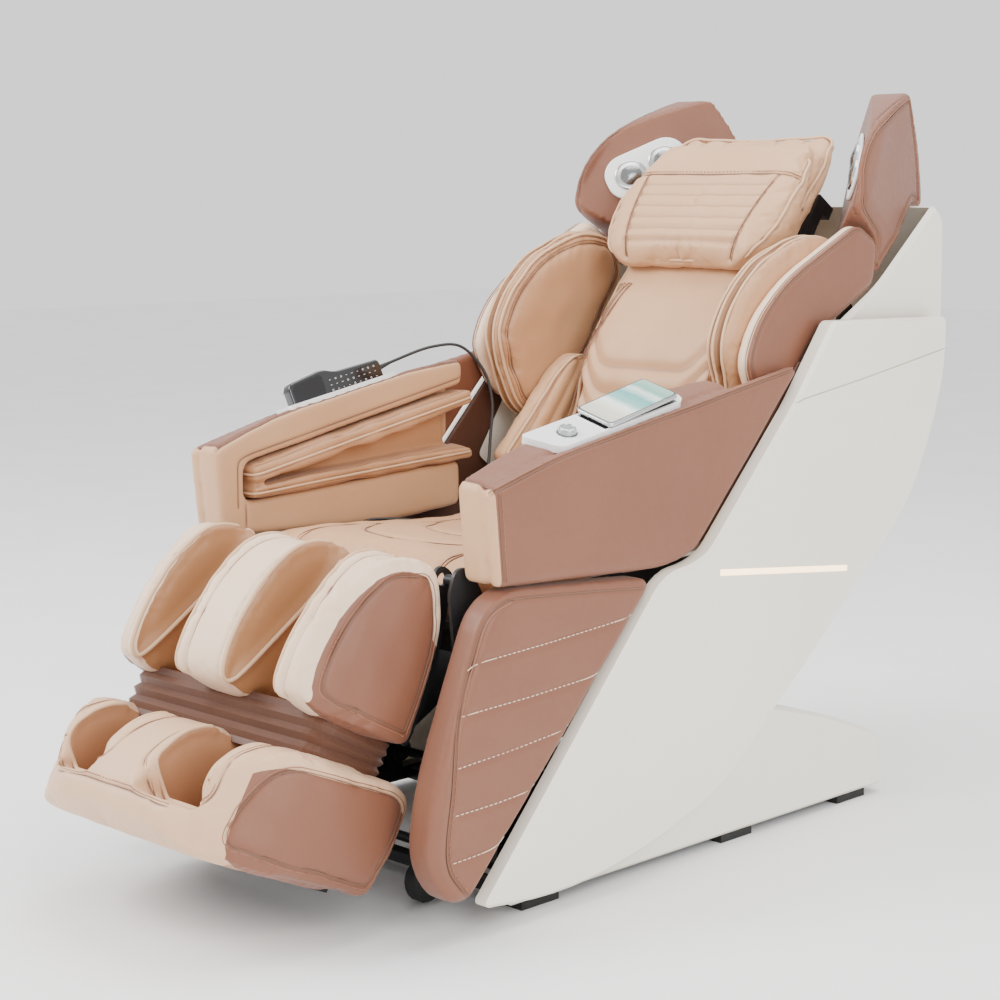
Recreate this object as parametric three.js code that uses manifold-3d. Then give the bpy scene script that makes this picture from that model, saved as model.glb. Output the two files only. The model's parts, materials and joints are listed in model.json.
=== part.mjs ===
// A massage chair: pedestal, tilting seat unit, reclining backrest with a roller carriage, and a leg rest whose
// foot section extends. Millimetres, +Z up, +X to the sitter's left, -Y to the front, origin on the floor under the
// middle.
import * as THREE from "three";
import { mergeVertices } from "three/addons/utils/BufferGeometryUtils.js";
import Module from "manifold-3d";

const wasm = await Module();
wasm.setup();

// ---- Driving dimensions -----------------------------------------------------------------------------
const GAP = 0.4; // between pieces that touch
const DEG = Math.PI / 180;

const FOOT_HEIGHT = 13; // rubber feet under the pedestal
const PEDESTAL_HALF = 330; // half width of the pedestal
const SHELL_INNER = 336; // inner and outer face of a side shell
const SHELL_OUTER = 370;
const ARM_INNER = 278; // the arms stand this far from the middle
const ARM_OUTER = 350;
const PANEL_INNER = 300; // padded lower side panels
const PANEL_OUTER = 360;
const SEAT_HALF = 258; // half width of the seat cushion

const TILT = { y: -193, z: 645 }; // virtual centre that the seat unit tilts about
const RAIL_RADIUS = 585; // outer radius of the arc rails, about the tilt centre
const RAIL_DEPTH = 25;
const ROLLER_RADIUS = 20;
const BACK = { y: 250, z: 500, lean: 33 }; // backrest pivot and its lean from upright, in degrees
const LEG = { y: -345, z: 500, lean: 31.3 }; // leg rest pivot and its lean
const ARM_FRONT = -366;
const ARM_REAR = 190; // rear end of the padded part of an arm
const ARM_SLOPE = 10.4; // rise of the arm tops towards the back, in degrees
const ARM_ROLL = 17; // their slope down to the outside, in degrees

// ---- Solids and booleans ----------------------------------------------------------------------------
function solid(geometry) {
  const bare = geometry.clone();
  bare.deleteAttribute("normal");
  bare.deleteAttribute("uv");
  const merged = mergeVertices(bare, 1e-3);
  return new wasm.Manifold(
    new wasm.Mesh({
      numProp: 3,
      vertProperties: merged.attributes.position.array,
      triVerts: new Uint32Array(merged.index.array),
    }),
  );
}

function geometryOf(made) {
  const mesh = made.getMesh();
  const geometry = new THREE.BufferGeometry();
  geometry.setAttribute("position", new THREE.BufferAttribute(mesh.vertProperties, 3));
  geometry.setIndex(new THREE.BufferAttribute(mesh.triVerts, 1));
  return geometry.toNonIndexed();
}

const join = (first, ...rest) =>
  geometryOf(rest.reduce((sum, piece) => sum.add(solid(piece)), solid(first)));

const cut = (first, ...rest) =>
  geometryOf(rest.reduce((left, piece) => left.subtract(solid(piece)), solid(first)));

const common = (first, second) => geometryOf(solid(first).intersect(solid(second)));

// A closed outline through corners [a, b, reach]: each corner is rounded from reach before it to reach after it,
// and by no less than the radius that an eased edge needs.
function outline(corners, steps = 5, ease = 0) {
  const at = corners.map(([a, b]) => new THREE.Vector2(a, b));
  const count = at.length;
  const turn = THREE.ShapeUtils.isClockWise(at) ? -1 : 1;
  const next = (i) => (i + 1) % count;
  const edges = at.map((point, i) => at[next(i)].clone().sub(point));
  const bends = edges.map((edge, i) => {
    const before = edges.at(i - 1);
    return before.angleTo(edge) * Math.sign(before.cross(edge) * turn);
  });
  const reaches = corners.map(([, , reach = 0], i) =>
    Math.max(reach, bends[i] > 0.3 ? 1.15 * ease * Math.tan(bends[i] / 2) : 0),
  );
  const room = edges.map((edge, i) => Math.min(1, edge.length() / (reaches[i] + reaches[next(i)] + 0.01)));
  const points = at.flatMap((here, i) => {
    const reach = reaches[i] * Math.min(room.at(i - 1), room[i]);
    if (reach < 0.5) return [here];
    const start = here.clone().addScaledVector(edges.at(i - 1).clone().normalize(), -reach);
    const end = here.clone().addScaledVector(edges[i].clone().normalize(), reach);
    const half = Math.abs(bends[i]) / 2;
    const weight = Math.cos(half);
    return Array.from({ length: steps + 1 }, (_, k) => {
      const t = k / steps;
      const [p, q, r] = [(1 - t) ** 2, 2 * weight * t * (1 - t), t ** 2];
      const sum = p + q + r;
      return new THREE.Vector2(
        (p * start.x + q * here.x + r * end.x) / sum,
        (p * start.y + q * here.y + r * end.y) / sum,
      );
    });
  });
  const apart = points.filter((point, i) => point.distanceTo(points.at(i - 1)) > 0.6);
  return apart.filter((point, i) => {
    const before = point.clone().sub(apart.at(i - 1)).normalize();
    const after = apart[(i + 1) % apart.length].clone().sub(point).normalize();
    return Math.abs(before.cross(after)) > 0.01 || before.dot(after) < 0;
  });
}

// A side outline (y, z) as a plate from x0 to x1, with its edges eased by bevel.
function plate(corners, x0, x1, bevel = 0, steps = 3, bevelSegments = 1) {
  const shape = new THREE.Shape(corners[0].isVector2 ? corners : outline(corners, steps, bevel));
  const geometry = new THREE.ExtrudeGeometry(shape, {
    depth: x1 - x0 - 2 * bevel,
    bevelEnabled: bevel > 0,
    bevelThickness: bevel,
    bevelSize: bevel,
    bevelOffset: -bevel,
    bevelSegments,
  });
  const sideways = new THREE.Matrix4().set(0, 0, 1, x0 + bevel, 1, 0, 0, 0, 0, 1, 0, 0, 0, 0, 0, 1);
  return geometry.applyMatrix4(sideways);
}

function block(x0, x1, y0, y1, z0, z1) {
  const geometry = new THREE.BoxGeometry(x1 - x0, y1 - y0, z1 - z0);
  return geometry.translate((x0 + x1) / 2, (y0 + y1) / 2, (z0 + z1) / 2);
}

// A rod along X.
function rod(radius, x0, x1, y, z, sides = 20) {
  const geometry = new THREE.CylinderGeometry(radius, radius, x1 - x0, sides);
  return geometry.rotateZ(Math.PI / 2).translate((x0 + x1) / 2, y, z);
}

// A rod along the local Z axis.
function post(radius, x, y, z0, z1, sides = 16) {
  const geometry = new THREE.CylinderGeometry(radius, radius, z1 - z0, sides);
  return geometry.rotateX(Math.PI / 2).translate(x, y, (z0 + z1) / 2);
}

// ---- Scene graph ------------------------------------------------------------------------------------
const paint = (color, roughness, metalness = 0) =>
  new THREE.MeshStandardMaterial({ color, roughness, metalness });
const material = {
  shell: paint(0xe4dfd6, 0.35),
  brown: paint(0xa9826e, 0.5),
  tan: paint(0xcdaa84, 0.5),
  steel: paint(0x3a3c40, 0.45, 0.8),
  black: paint(0x141416, 0.5),
  rubber: paint(0x101010, 0.8),
  white: paint(0xf1f1f0, 0.25),
  silver: paint(0xb9babb, 0.3, 0.9),
  light: paint(0xfff1cf, 0.4),
  screen: paint(0x4f9c98, 0.15),
};

const chair = new THREE.Group();
const backrest = new THREE.Group();
backrest.position.set(0, BACK.y, BACK.z);
backrest.rotation.x = -BACK.lean * DEG;
const legs = new THREE.Group();
legs.position.set(0, LEG.y, LEG.z);
legs.rotation.x = -LEG.lean * DEG;
chair.add(backrest, legs);

function add(group, name, geometry, paintwork) {
  const mesh = new THREE.Mesh(geometry, paintwork);
  mesh.name = name;
  group.add(mesh);
  return mesh;
}

// The same piece on the sitter's left (+X) and, mirrored, on the right.
function addPair(group, name, geometry, paintwork) {
  add(group, `${name}_left`, geometry, paintwork);
  add(group, `${name}_right`, geometry.clone(), paintwork).scale.x = -1;
}

// ---- Pedestal ---------------------------------------------------------------------------------------
const railTube = { inner: 290, outer: 318, bottom: 16, top: 40 };
const rollerAngles = { front: -4, rear: 21 }; // from straight below the tilt centre, in degrees
const rollerAt = (angle) => ({
  y: TILT.y + (RAIL_RADIUS + ROLLER_RADIUS + GAP) * Math.sin(angle * DEG),
  z: TILT.z - (RAIL_RADIUS + ROLLER_RADIUS + GAP) * Math.cos(angle * DEG),
});
const SHAFT_RADIUS = 8;
const wheel = { y: -352, z: 38, radius: 34, width: 26, x: 196 };
const bothSides = (inner, outer) => [
  [inner, outer],
  [-outer, -inner],
];

// Two skids joined by a tail, moulded in one and open underneath.
function baseCover() {
  const outer = [
    [-303, FOOT_HEIGHT + 2, 8],
    [-308, 38, 10],
    [-250, 56, 14],
    [40, 66, 90],
    [236, 204, 40],
    [300, 218, 40],
    [480, 168, 60],
    [622, 112, 20],
    [646, FOOT_HEIGHT + 2, 12],
  ];
  const inside = [
    [-296, 0],
    [-298, 34, 6],
    [-250, 48, 10],
    [42, 58, 80],
    [240, 195, 30],
    [300, 209, 30],
    [478, 159, 50],
    [614, 105, 12],
    [636, 0],
  ];
  const wall = 7;
  const half = PEDESTAL_HALF;
  const shell = cut(plate(outer, -half, half, 6, 4), plate(inside, wall - half, half - wall, 0, 3));
  const bay = plate(
    [
      [-330, -20],
      [-330, 260],
      [236, 260],
      [236, 60, 40],
      [200, -20],
    ],
    -299,
    299,
    0,
    4,
  );
  return cut(shell, bay);
}

function baseFrame() {
  const { inner, outer, bottom, top } = railTube;
  const pieces = [
    block(-outer, outer, 240, 270, bottom, top - 4),
    block(-outer, outer, 560, 590, bottom, top - 4),
    block(-outer, outer, -284, -262, bottom + 2, 36),
    block(-outer, outer, 60, 90, bottom, top - 4),
  ];
  for (const [from, to] of bothSides(inner, outer)) pieces.push(block(from, to, -268, 600, bottom, top));
  for (const [from, to] of bothSides(wheel.x - 24, wheel.x - 16)) {
    pieces.push(block(from, to, -368, -262, 22, 48));
  }
  for (const [from, to] of bothSides(wheel.x - 20, wheel.x + 20)) {
    pieces.push(rod(6, from, to, wheel.y, wheel.z, 12));
  }
  const bores = [];
  for (const angle of Object.values(rollerAngles)) {
    const { y, z } = rollerAt(angle);
    for (const [from, to] of bothSides(290, 297)) {
      pieces.push(
        plate(
          [
            [y - 26, bottom],
            [y + 26, bottom],
            [y + 18, z + 15, 10],
            [y - 18, z + 15, 10],
          ],
          from,
          to,
          0,
          3,
        ),
      );
    }
    bores.push(rod(SHAFT_RADIUS + 0.5, -outer - 1, outer + 1, y, z, 16));
  }
  return cut(join(...pieces), ...bores);
}

function tiltRoller(angle) {
  const { y, z } = rollerAt(angle);
  return join(
    rod(SHAFT_RADIUS, -296, 296, y, z, 16),
    ...bothSides(264.5, 282).map(([from, to]) => rod(ROLLER_RADIUS, from, to, y, z, 18)),
  );
}

function transportWheel() {
  const tyre = outline([
    [6.5, -wheel.width / 2],
    [wheel.radius - 1, -wheel.width / 2, 6],
    [wheel.radius, 0, 6],
    [wheel.radius - 1, wheel.width / 2, 6],
    [6.5, wheel.width / 2],
  ], 2);
  tyre.push(tyre[0]);
  const geometry = new THREE.LatheGeometry(tyre, 20);
  return geometry.rotateZ(-Math.PI / 2).translate(wheel.x, wheel.y, wheel.z);
}

// Gear motor around the rear roller shaft.
function tiltMotor() {
  const { y, z } = rollerAt(rollerAngles.rear);
  const housing = join(
    block(-60, 20, y - 34, y + 40, z - 30, z + 26),
    block(-60, 20, y + 20, 236, 40.4, z + 10),
    rod(26, 19, 130, y + 62, z + 2, 20),
    block(-10, 19, y + 30, y + 84, z - 20, z + 24),
  );
  return cut(housing, rod(SHAFT_RADIUS + 0.5, -140, 140, y, z, 20));
}

add(chair, "base_cover", baseCover(), material.shell);
add(chair, "base_frame", baseFrame(), material.steel);
for (const [place, y] of Object.entries({ front: -232, middle: 236, rear: 556 })) {
  const foot = block(284, 322, y - 40, y + 40, 0, FOOT_HEIGHT);
  const plug = block(292, 314, y - 30, y + 30, FOOT_HEIGHT - 1, 15.6);
  addPair(chair, `foot_${place}`, join(foot, plug), material.rubber);
}
addPair(chair, "transport_wheel", transportWheel(), material.rubber);
for (const [place, angle] of Object.entries(rollerAngles)) {
  add(chair, `tilt_roller_${place}`, tiltRoller(angle), material.steel);
}
add(chair, "tilt_motor", tiltMotor(), material.black);

// ---- Seat unit: frame, cushion, side shells and panels ----------------------------------------------
const frameSide = { inner: 266, outer: 280 };

function arcRail(x0, x1) {
  const arc = (radius, from, to) =>
    Array.from({ length: 15 }, (_, i) => {
      const angle = (-90 + from + ((to - from) * i) / 14) * DEG;
      return new THREE.Vector2(TILT.y + radius * Math.cos(angle), TILT.z + radius * Math.sin(angle));
    });
  const outside = arc(RAIL_RADIUS, -9, 46);
  const inside = arc(RAIL_RADIUS - RAIL_DEPTH, 46, -9);
  return plate([...outside, ...inside], x0, x1);
}

function seatFrame() {
  const sidePlate = [
    [-372, 486, 10],
    [-330, 100, 10],
    [-310, 88],
    [-180, 78],
    [40, 124],
    [190, 214],
    [196, 300, 20],
    [282, 490, 16],
    [268, 528, 16],
    [232, 528, 16],
    [200, 478, 10],
    [-300, 468, 10],
    [-330, 522, 12],
    [-360, 522, 12],
  ];
  const window = [
    [-270, 180, 30],
    [20, 200, 30],
    [60, 400, 30],
    [-270, 410, 30],
  ];
  const { inner, outer } = frameSide;
  const side = cut(
    join(plate(sidePlate, inner + 2, inner + 8, 0, 3), arcRail(inner + 2, outer)),
    plate(window, inner, outer + 1, 0, 3),
    rod(10.4, inner, outer, BACK.y, BACK.z, 20),
  );
  const pieces = [side, mirrored(side)];
  pieces.push(block(-inner - 4, inner + 4, -318, 190, 418, 430));
  pieces.push(block(-inner - 4, inner + 4, -300, -270, 380, 419));
  pieces.push(block(-inner - 4, inner + 4, 130, 160, 380, 419));
  pieces.push(block(-inner - 4, inner + 4, -74, -44, 402, 419));
  for (const side of [-1, 1]) {
    const ends = [side * 240, side * (inner + 4)].sort((a, b) => a - b);
    pieces.push(rod(9, ends[0], ends[1], LEG.y, LEG.z, 20));
  }
  return join(...pieces);
}

function mirrored(geometry) {
  const copy = geometry.index ? geometry.toNonIndexed() : geometry.clone();
  copy.scale(-1, 1, 1);
  const place = copy.attributes.position;
  for (let i = 0; i < place.count; i += 3) {
    const a = new THREE.Vector3().fromBufferAttribute(place, i + 1);
    const b = new THREE.Vector3().fromBufferAttribute(place, i + 2);
    place.setXYZ(i + 1, b.x, b.y, b.z);
    place.setXYZ(i + 2, a.x, a.y, a.z);
  }
  return copy;
}

const seatProfile = [
  [-322, 432, 12],
  [-326, 512, 34],
  [-200, 508, 60],
  [60, 484, 80],
  [206, 500, 24],
  [200, 432, 8],
];

const shellProfile = [
  [-396, 44, 10],
  [-4, 483, 40],
  [62, 488, 30],
  [102, 504, 20],
  [309, 719, 20],
  [412, 850, 10],
  [744, 843, 8],
  [742, 752, 60],
  [706, 640, 120],
  [640, 520, 120],
  [470, 376, 150],
  [330, 262, 150],
  [240, 196, 80],
  [150, 118, 100],
  [-60, 46, 160],
  [-250, 28, 120],
];

const lowerPanelProfile = [
  [-366, 501, 60],
  [-14, 476, 12],
  [-410, 58, 12],
  [-446, 56, 24],
  [-492, 110, 60],
  [-482, 224, 90],
];

const lightStrip = { y: 293, z: 450, length: 338, height: 9, depth: 5, tilt: -5.9 };

function stripBar(grow) {
  const { length, height, depth, tilt, y, z } = lightStrip;
  return block(
    SHELL_OUTER - depth - grow,
    SHELL_OUTER + 0.5 + 20 * (grow > 0),
    -length / 2 - grow,
    length / 2 + grow,
    -height / 2 - grow,
    height / 2 + grow,
  )
    .rotateX(tilt * DEG)
    .translate(0, y, z);
}

add(chair, "seat_frame", seatFrame(), material.steel);
add(chair, "seat_cushion", plate(seatProfile, -SEAT_HALF, SEAT_HALF, 14), material.tan);
const sideShell = plate(shellProfile, SHELL_INNER, SHELL_OUTER, 6, 4, 1);
addPair(chair, "side_shell", cut(sideShell, stripBar(GAP)), material.shell);
addPair(chair, "light_strip", stripBar(0), material.light);
addPair(chair, "lower_panel", plate(lowerPanelProfile, PANEL_INNER, PANEL_OUTER, 10, 4), material.brown);

// ---- Arms -------------------------------------------------------------------------------------------
const armOuterProfile = [
  [ARM_FRONT, 644, 8],
  [-352, 502, 8],
  [-6, 487, 8],
  [56, 492, 30],
  [92, 510, 10],
  [298, 724, 10],
  [354, 784, 8],
  [74, 735, 60],
  [-219, 685, 60],
];

// The pad's inner side. Towards the outside its top comes down to meet the outer panel.
const armPadProfile = [
  [ARM_FRONT, 651, 8],
  [-247, 697, 60],
  [57, 756, 80],
  [ARM_REAR, 766, 10],
  [ARM_REAR, 719, 8],
  [-306, 620, 14],
  [-306, 556, 14],
  [184, 582, 8],
  [184, 502, 10],
  [60, 492, 20],
  [-6, 489, 8],
  [-352, 504, 8],
];

// A group lying on an arm's top: local X across it, Y along it and Z out of it.
function armTopGroup(name, x, y, z) {
  const group = new THREE.Group();
  group.name = name;
  group.position.set(x, y, z);
  group.rotation.set(ARM_SLOPE * DEG, Math.sign(x) * ARM_ROLL * DEG, 0);
  chair.add(group);
  group.updateMatrixWorld(true);
  return group;
}

function armPad() {
  const pad = solid(plate(armPadProfile, ARM_INNER, 329, 7, 2)).refineToLength(120);
  const eased = pad.warp((v) => {
    const top = 651 + 0.215 * (v[1] - ARM_FRONT);
    if (v[2] < top - 25) return;
    const middle = 1 - Math.abs(v[1] + 60) / 330;
    v[2] -= Math.max(0, middle) * 0.6 * (v[0] - ARM_INNER);
  });
  return geometryOf(eased);
}

// The forearm airbags: two leaves joined along their outer edge, open towards the sitter and the back.
function armAirbag() {
  const leaf = (front, rear, thickness) => [
    [-300, front, 6],
    [ARM_REAR + 14, rear, 6],
    [ARM_REAR + 14, rear + thickness, 10],
    [-300, front + thickness, 6],
  ];
  const web = [
    [-298, 562],
    [176, 588],
    [176, 690],
    [-298, 600],
  ];
  return join(
    plate(leaf(586, 682, 30), 262, 322, 5, 2),
    plate(leaf(559, 588, 22), 262, 322, 5, 2),
    plate(web, 314, 326),
  );
}

const tray = { x: 309, y: -72, z: 722, width: 66, length: 300, depth: 7 };
const cradle = { x: -309, y: -80, z: 718, width: 40, length: 262 };
const onTray = armTopGroup("tray_frame", tray.x, tray.y, tray.z);
const onCradle = armTopGroup("cradle_frame", cradle.x, cradle.y, cradle.z);

function trayPlate(grow) {
  const corners = [
    [-tray.width / 2 - grow, -tray.length / 2 - 14 - grow, 10],
    [tray.width / 2 + grow, -tray.length / 2 + 10 - grow, 14],
    [tray.width / 2 + grow, tray.length / 2 + grow, 26],
    [-tray.width / 2 - grow, tray.length / 2 - 12 + grow, 26],
  ];
  const shape = new THREE.Shape(outline(corners, 4));
  const depth = tray.depth + (grow ? 60 : 5);
  return new THREE.ExtrudeGeometry(shape, { depth, bevelEnabled: false }).translate(0, 0, -tray.depth - grow);
}

const KNOB = { x: 3, y: -98, radius: 15 };
const PHONE = { width: 74, length: 158, thickness: 8, y: 42 };

function phoneTray() {
  const recess = block(-29, 29, PHONE.y - 84, PHONE.y + 84, 1, 20);
  return cut(trayPlate(0), recess, post(KNOB.radius + 1.5, KNOB.x, KNOB.y, -2, 20, 24));
}

function controlKnob() {
  const { x, y, radius } = KNOB;
  return join(post(radius, x, y, -1.6, 12, 24), post(radius - 3, x, y, 11.9, 16, 24));
}

// A telephone lying in the tray's recess, its head end raised.
function phone() {
  const { width, length, thickness, y } = PHONE;
  const corners = [
    [-length / 2, -thickness / 2, 3],
    [length / 2, -thickness / 2, 3],
    [length / 2, thickness / 2, 3],
    [-length / 2, thickness / 2, 3],
  ];
  return plate(corners, -width / 2, width / 2, 2, 2).rotateX(3 * DEG).translate(-2, y, 13.5);
}

const REMOTE = { length: 206, top: 46, thickness: 20 };

function remoteSlot(grow) {
  const { width, length } = cradle;
  const corners = [
    [-width / 2 - grow, -length / 2 - grow, 18],
    [width / 2 + grow, -length / 2 - grow, 18],
    [width / 2 + grow, length / 2 + grow, 18],
    [-width / 2 - grow, length / 2 + grow, 18],
  ];
  const shape = new THREE.Shape(outline(corners, 3));
  const depth = grow ? 80 : 27;
  return new THREE.ExtrudeGeometry(shape, { depth, bevelEnabled: false }).translate(0, 0, -22 - grow);
}

function remoteCradle() {
  return cut(remoteSlot(0), block(-13, 13, -106, 106, -17, 20));
}

// The handset stands on edge in the slot with its keys towards the sitter; its display end stands taller.
function remoteControl() {
  const { length, top, thickness } = REMOTE;
  const face = [
    [-length / 2, -16.5, 6],
    [length / 2, -16.5, 6],
    [length / 2, top - 10, 9],
    [-length / 2 + 104, top - 8, 12],
    [-length / 2 + 80, top + 2, 14],
    [-length / 2, top - 6, 14],
  ];
  return plate(face, -thickness / 2, thickness / 2, 3);
}

const placed = (geometry, group) => geometry.applyMatrix4(group.matrixWorld);
const linerProfile = [
  [106, 512],
  [306, 722],
  [364, 784],
  [470, 790],
  [470, 640],
  [330, 512],
];
addPair(chair, "side_liner", plate(linerProfile, 329.4, 335.4), material.brown);
const padLeft = armPad();
const padRight = mirrored(armPad());
const trayRoom = placed(trayPlate(GAP), onTray);
const slotRoom = placed(remoteSlot(GAP), onCradle);
const outerPanel = plate(armOuterProfile, 330, ARM_OUTER + 4, 7);
add(chair, "arm_outer_panel_left", cut(outerPanel, trayRoom), material.brown);
add(chair, "arm_outer_panel_right", cut(mirrored(outerPanel), slotRoom), material.brown);
add(chair, "arm_pad_left", cut(padLeft, trayRoom), material.tan);
add(chair, "arm_pad_right", cut(padRight, slotRoom), material.tan);
addPair(chair, "arm_airbag", armAirbag(), material.tan);
add(onTray, "phone_tray", phoneTray(), material.white);
add(onTray, "control_knob", controlKnob(), material.silver);
add(onCradle, "remote_cradle", remoteCradle(), material.white);
add(onCradle, "remote_control", remoteControl(), material.black);
add(onTray, "phone", phone(), material.screen);

// The handset's cord: over the arm, down beside the backrest, along the seat and into the gap under the arm.
const CORD_RADIUS = 2.7;
const cordStart = new THREE.Vector3(0, REMOTE.length / 2 + 0.6, 20).applyMatrix4(onCradle.matrixWorld);
const cordAhead = new THREE.Vector3(0, REMOTE.length / 2 + 40, 24).applyMatrix4(onCradle.matrixWorld);
const cordPath = new THREE.CatmullRomCurve3(
  [
    cordStart,
    cordAhead,
    [-292, 128, 789],
    [-272, 176, 788],
    [-250, 214, 742],
    [-238, 222, 690],
    [-226, 206, 630],
    [-206, 176, 566],
    [-200, 134, 512],
    [-210, 90, 496],
    [-226, 30, 496],
    [-244, -24, 502],
    [-262, -62, 500],
    [-268, -84, 482],
    [-268, -88, 474],
  ].map((point) => (point.isVector3 ? point : new THREE.Vector3(...point))),
  false,
  "centripetal",
);
const cordSection = new THREE.Shape(
  Array.from({ length: 8 }, (_, i) => {
    const angle = i * 45 * DEG;
    return new THREE.Vector2(CORD_RADIUS * Math.cos(angle), CORD_RADIUS * Math.sin(angle));
  }),
);
const cordOptions = { steps: 46, bevelEnabled: false, extrudePath: cordPath };
add(chair, "remote_cable", new THREE.ExtrudeGeometry(cordSection, cordOptions), material.black);

// ---- Backrest ---------------------------------------------------------------------------------------
// Local frame: pivot at the origin, +Y through the back, +Z up along it.
const TRACK = { inner: 122, outer: 136, front: 58, rear: 84, bottom: 70, top: 700 };

// A front outline (x, z) as a slab from y0 to y1.
const slab = (corners, y0, y1, bevel = 0, steps = 3) =>
  plate(corners, -y1, -y0, bevel, steps).rotateZ(-Math.PI / 2);

function backShell() {
  const outside = [
    [-30, 78, 10],
    [56, 70, 20],
    [94, -26, 14],
    [130, -30, 20],
    [146, 60, 60],
    [172, 200, 80],
    [222, 310, 60],
    [294, 430, 80],
    [300, 535, 40],
    [262, 590, 40],
    [172, 726, 20],
    [134, 730, 12],
    [70, 524, 30],
    [14, 420, 40],
    [-30, 330, 60],
  ];
  const inside = [
    [-60, 60],
    [44, 52, 20],
    [84, -60],
    [116, -60],
    [136, 62, 50],
    [162, 203, 70],
    [212, 314, 50],
    [284, 434, 70],
    [290, 530, 34],
    [254, 584, 30],
    [168, 717, 20],
    [140, 720],
    [-60, 720],
  ];
  const half = 328;
  return cut(plate(outside, -half, half, 8), plate(inside, 8 - half, half - 8));
}

function backFrame() {
  const { inner, outer, front, rear, bottom, top } = TRACK;
  const pieces = [];
  for (const [from, to] of bothSides(inner, outer)) pieces.push(block(from, to, front, rear, bottom, top));
  for (const [z0, half] of [
    [bottom, 240],
    [top - 24, outer],
  ]) {
    pieces.push(block(-half, half, rear - 1, rear + 22, z0, z0 + 24));
  }
  const arm = [
    [-20, -20, 14],
    [20, -20, 14],
    [48, 40, 10],
    [108, 60, 10],
    [108, 500, 10],
    [80, 500, 10],
    [80, 96, 14],
    [-20, 30, 14],
  ];
  for (const [from, to] of bothSides(258, 264)) pieces.push(plate(arm, from, to));
  for (const [from, to] of bothSides(239, 260)) pieces.push(block(from, to, rear - 1, rear + 22, bottom, bottom + 24));
  for (const [from, to] of bothSides(inner + 1, 260)) pieces.push(block(from, to, rear - 1, rear + 22, 476, 500));
  for (const [from, to] of bothSides(262, 281)) pieces.push(rod(10, from, to, 0, 0));
  return join(...pieces);
}

function backCushion() {
  const front = [
    [-150, 24, 20],
    [150, 24, 20],
    [170, 300, 60],
    [174, 460, 60],
    [200, 690, 60],
    [188, 780, 40],
    [150, 806, 40],
    [-150, 806, 40],
    [-188, 780, 40],
    [-200, 690, 60],
    [-174, 460, 60],
    [-170, 300, 60],
  ];
  const side = [
    [-40, 16, 10],
    [-12, 190, 60],
    [-56, 280, 60],
    [-48, 400, 60],
    [-22, 500, 60],
    [-22, 750, 40],
    [6, 806, 12],
    [16, 800, 6],
    [16, 16, 8],
  ];
  return common(slab(front, -80, 60), plate(side, -220, 220));
}

const pillowFront = [
  [-150, 458, 40],
  [150, 458, 40],
  [204, 540, 50],
  [200, 660, 60],
  [166, 756, 30],
  [-166, 756, 30],
  [-200, 660, 60],
  [-204, 540, 50],
];
const pillowSide = [
  [-60, 452, 10],
  [-96, 476, 24],
  [-84, 620, 60],
  [-46, 748, 14],
  [-34, 758, 6],
  [-24, 752, 4],
  [-24, 506, 10],
];
const waistPadProfile = [
  [-100, 46, 16],
  [-8, 26, 16],
  [44, 120, 40],
  [44, 318, 20],
  [-30, 318, 40],
  [-66, 250, 50],
];
const shoulderPanelProfile = [
  [-92, 196, 20],
  [-158, 234, 20],
  [-174, 296, 40],
  [-152, 396, 60],
  [-34, 582, 14],
  [30, 586, 12],
  [62, 520, 12],
  [6, 424, 40],
  [-38, 332, 30],
  [-38, 190, 12],
];
const shoulderAirbagProfile = [
  [-60, 156, 30],
  [-120, 190, 30],
  [-190, 250, 30],
  [-202, 330, 40],
  [-176, 436, 50],
  [-92, 534, 40],
  [-8, 566, 30],
  [52, 520, 20],
  [52, 180, 20],
];
const wingProfile = [
  [-58, 594, 16],
  [-88, 660, 30],
  [-82, 738, 40],
  [-18, 838, 50],
  [28, 896, 14],
  [60, 874, 30],
  [112, 828, 30],
  [150, 785, 16],
  [175, 740, 14],
  [130, 735, 8],
  [68, 532, 20],
  [34, 592, 10],
];
const wingFace = { front: [318, -66], rear: [172, 100] };
const wingBend = 630;
const leaning = (geometry) => {
  const inward = new THREE.Matrix4().set(1, 0, -0.19, 0.19 * wingBend, 0, 1, 0, 0, 0, 0, 1, 0, 0, 0, 0, 1);
  return geometry.applyMatrix4(inward);
};

// A head wing: a panel that is wide at the front edge and slants in behind the sitter's head. It stands
// upright up to its bend and leans in above it.
function headWing() {
  const across = [
    [330, -100],
    [330, -40],
    [290, 195],
    [wingFace.rear[0], 195],
    wingFace.rear,
    wingFace.front,
    [320, -100],
  ];
  const shape = new THREE.Shape(across.map(([a, b]) => new THREE.Vector2(a, b)));
  const column = new THREE.ExtrudeGeometry(shape, { depth: 400, bevelEnabled: false }).translate(0, 0, 515);
  const upright = common(plate(wingProfile, 140, 331, 8), column);
  const lower = common(upright, block(100, 400, -200, 300, 500, wingBend + 0.4));
  const upper = common(upright, block(100, 400, -200, 300, wingBend, 1000));
  return join(lower, leaning(upper));
}

// A rounded speaker plate with two domes, lying on the wing's slanted face.
function speakerPlate() {
  const corners = [
    [-78, -46, 40],
    [78, -46, 40],
    [78, 46, 40],
    [-78, 46, 40],
  ];
  const dome = (along) => {
    const side = [
      [0, 4],
      [27, 4],
      [27, 8],
      [20, 12],
      [0, 14],
    ].map(([a, b]) => new THREE.Vector2(a, b));
    return new THREE.LatheGeometry(side, 16).rotateZ(-Math.PI / 2).translate(0, along, 0);
  };
  const [along, through] = [wingFace.front[0] - wingFace.rear[0], wingFace.rear[1] - wingFace.front[1]];
  const slant = Math.atan2(along, through);
  const out = GAP / Math.hypot(along, through);
  const lying = join(plate(corners, 0, 6), dome(-33), dome(33))
    .rotateX(-53 * DEG)
    .rotateZ(Math.PI + slant)
    .translate(
      wingFace.front[0] - 0.4 * along - out * through,
      wingFace.front[1] + 0.4 * through - out * along,
      718,
    );
  return leaning(lying);
}

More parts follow.
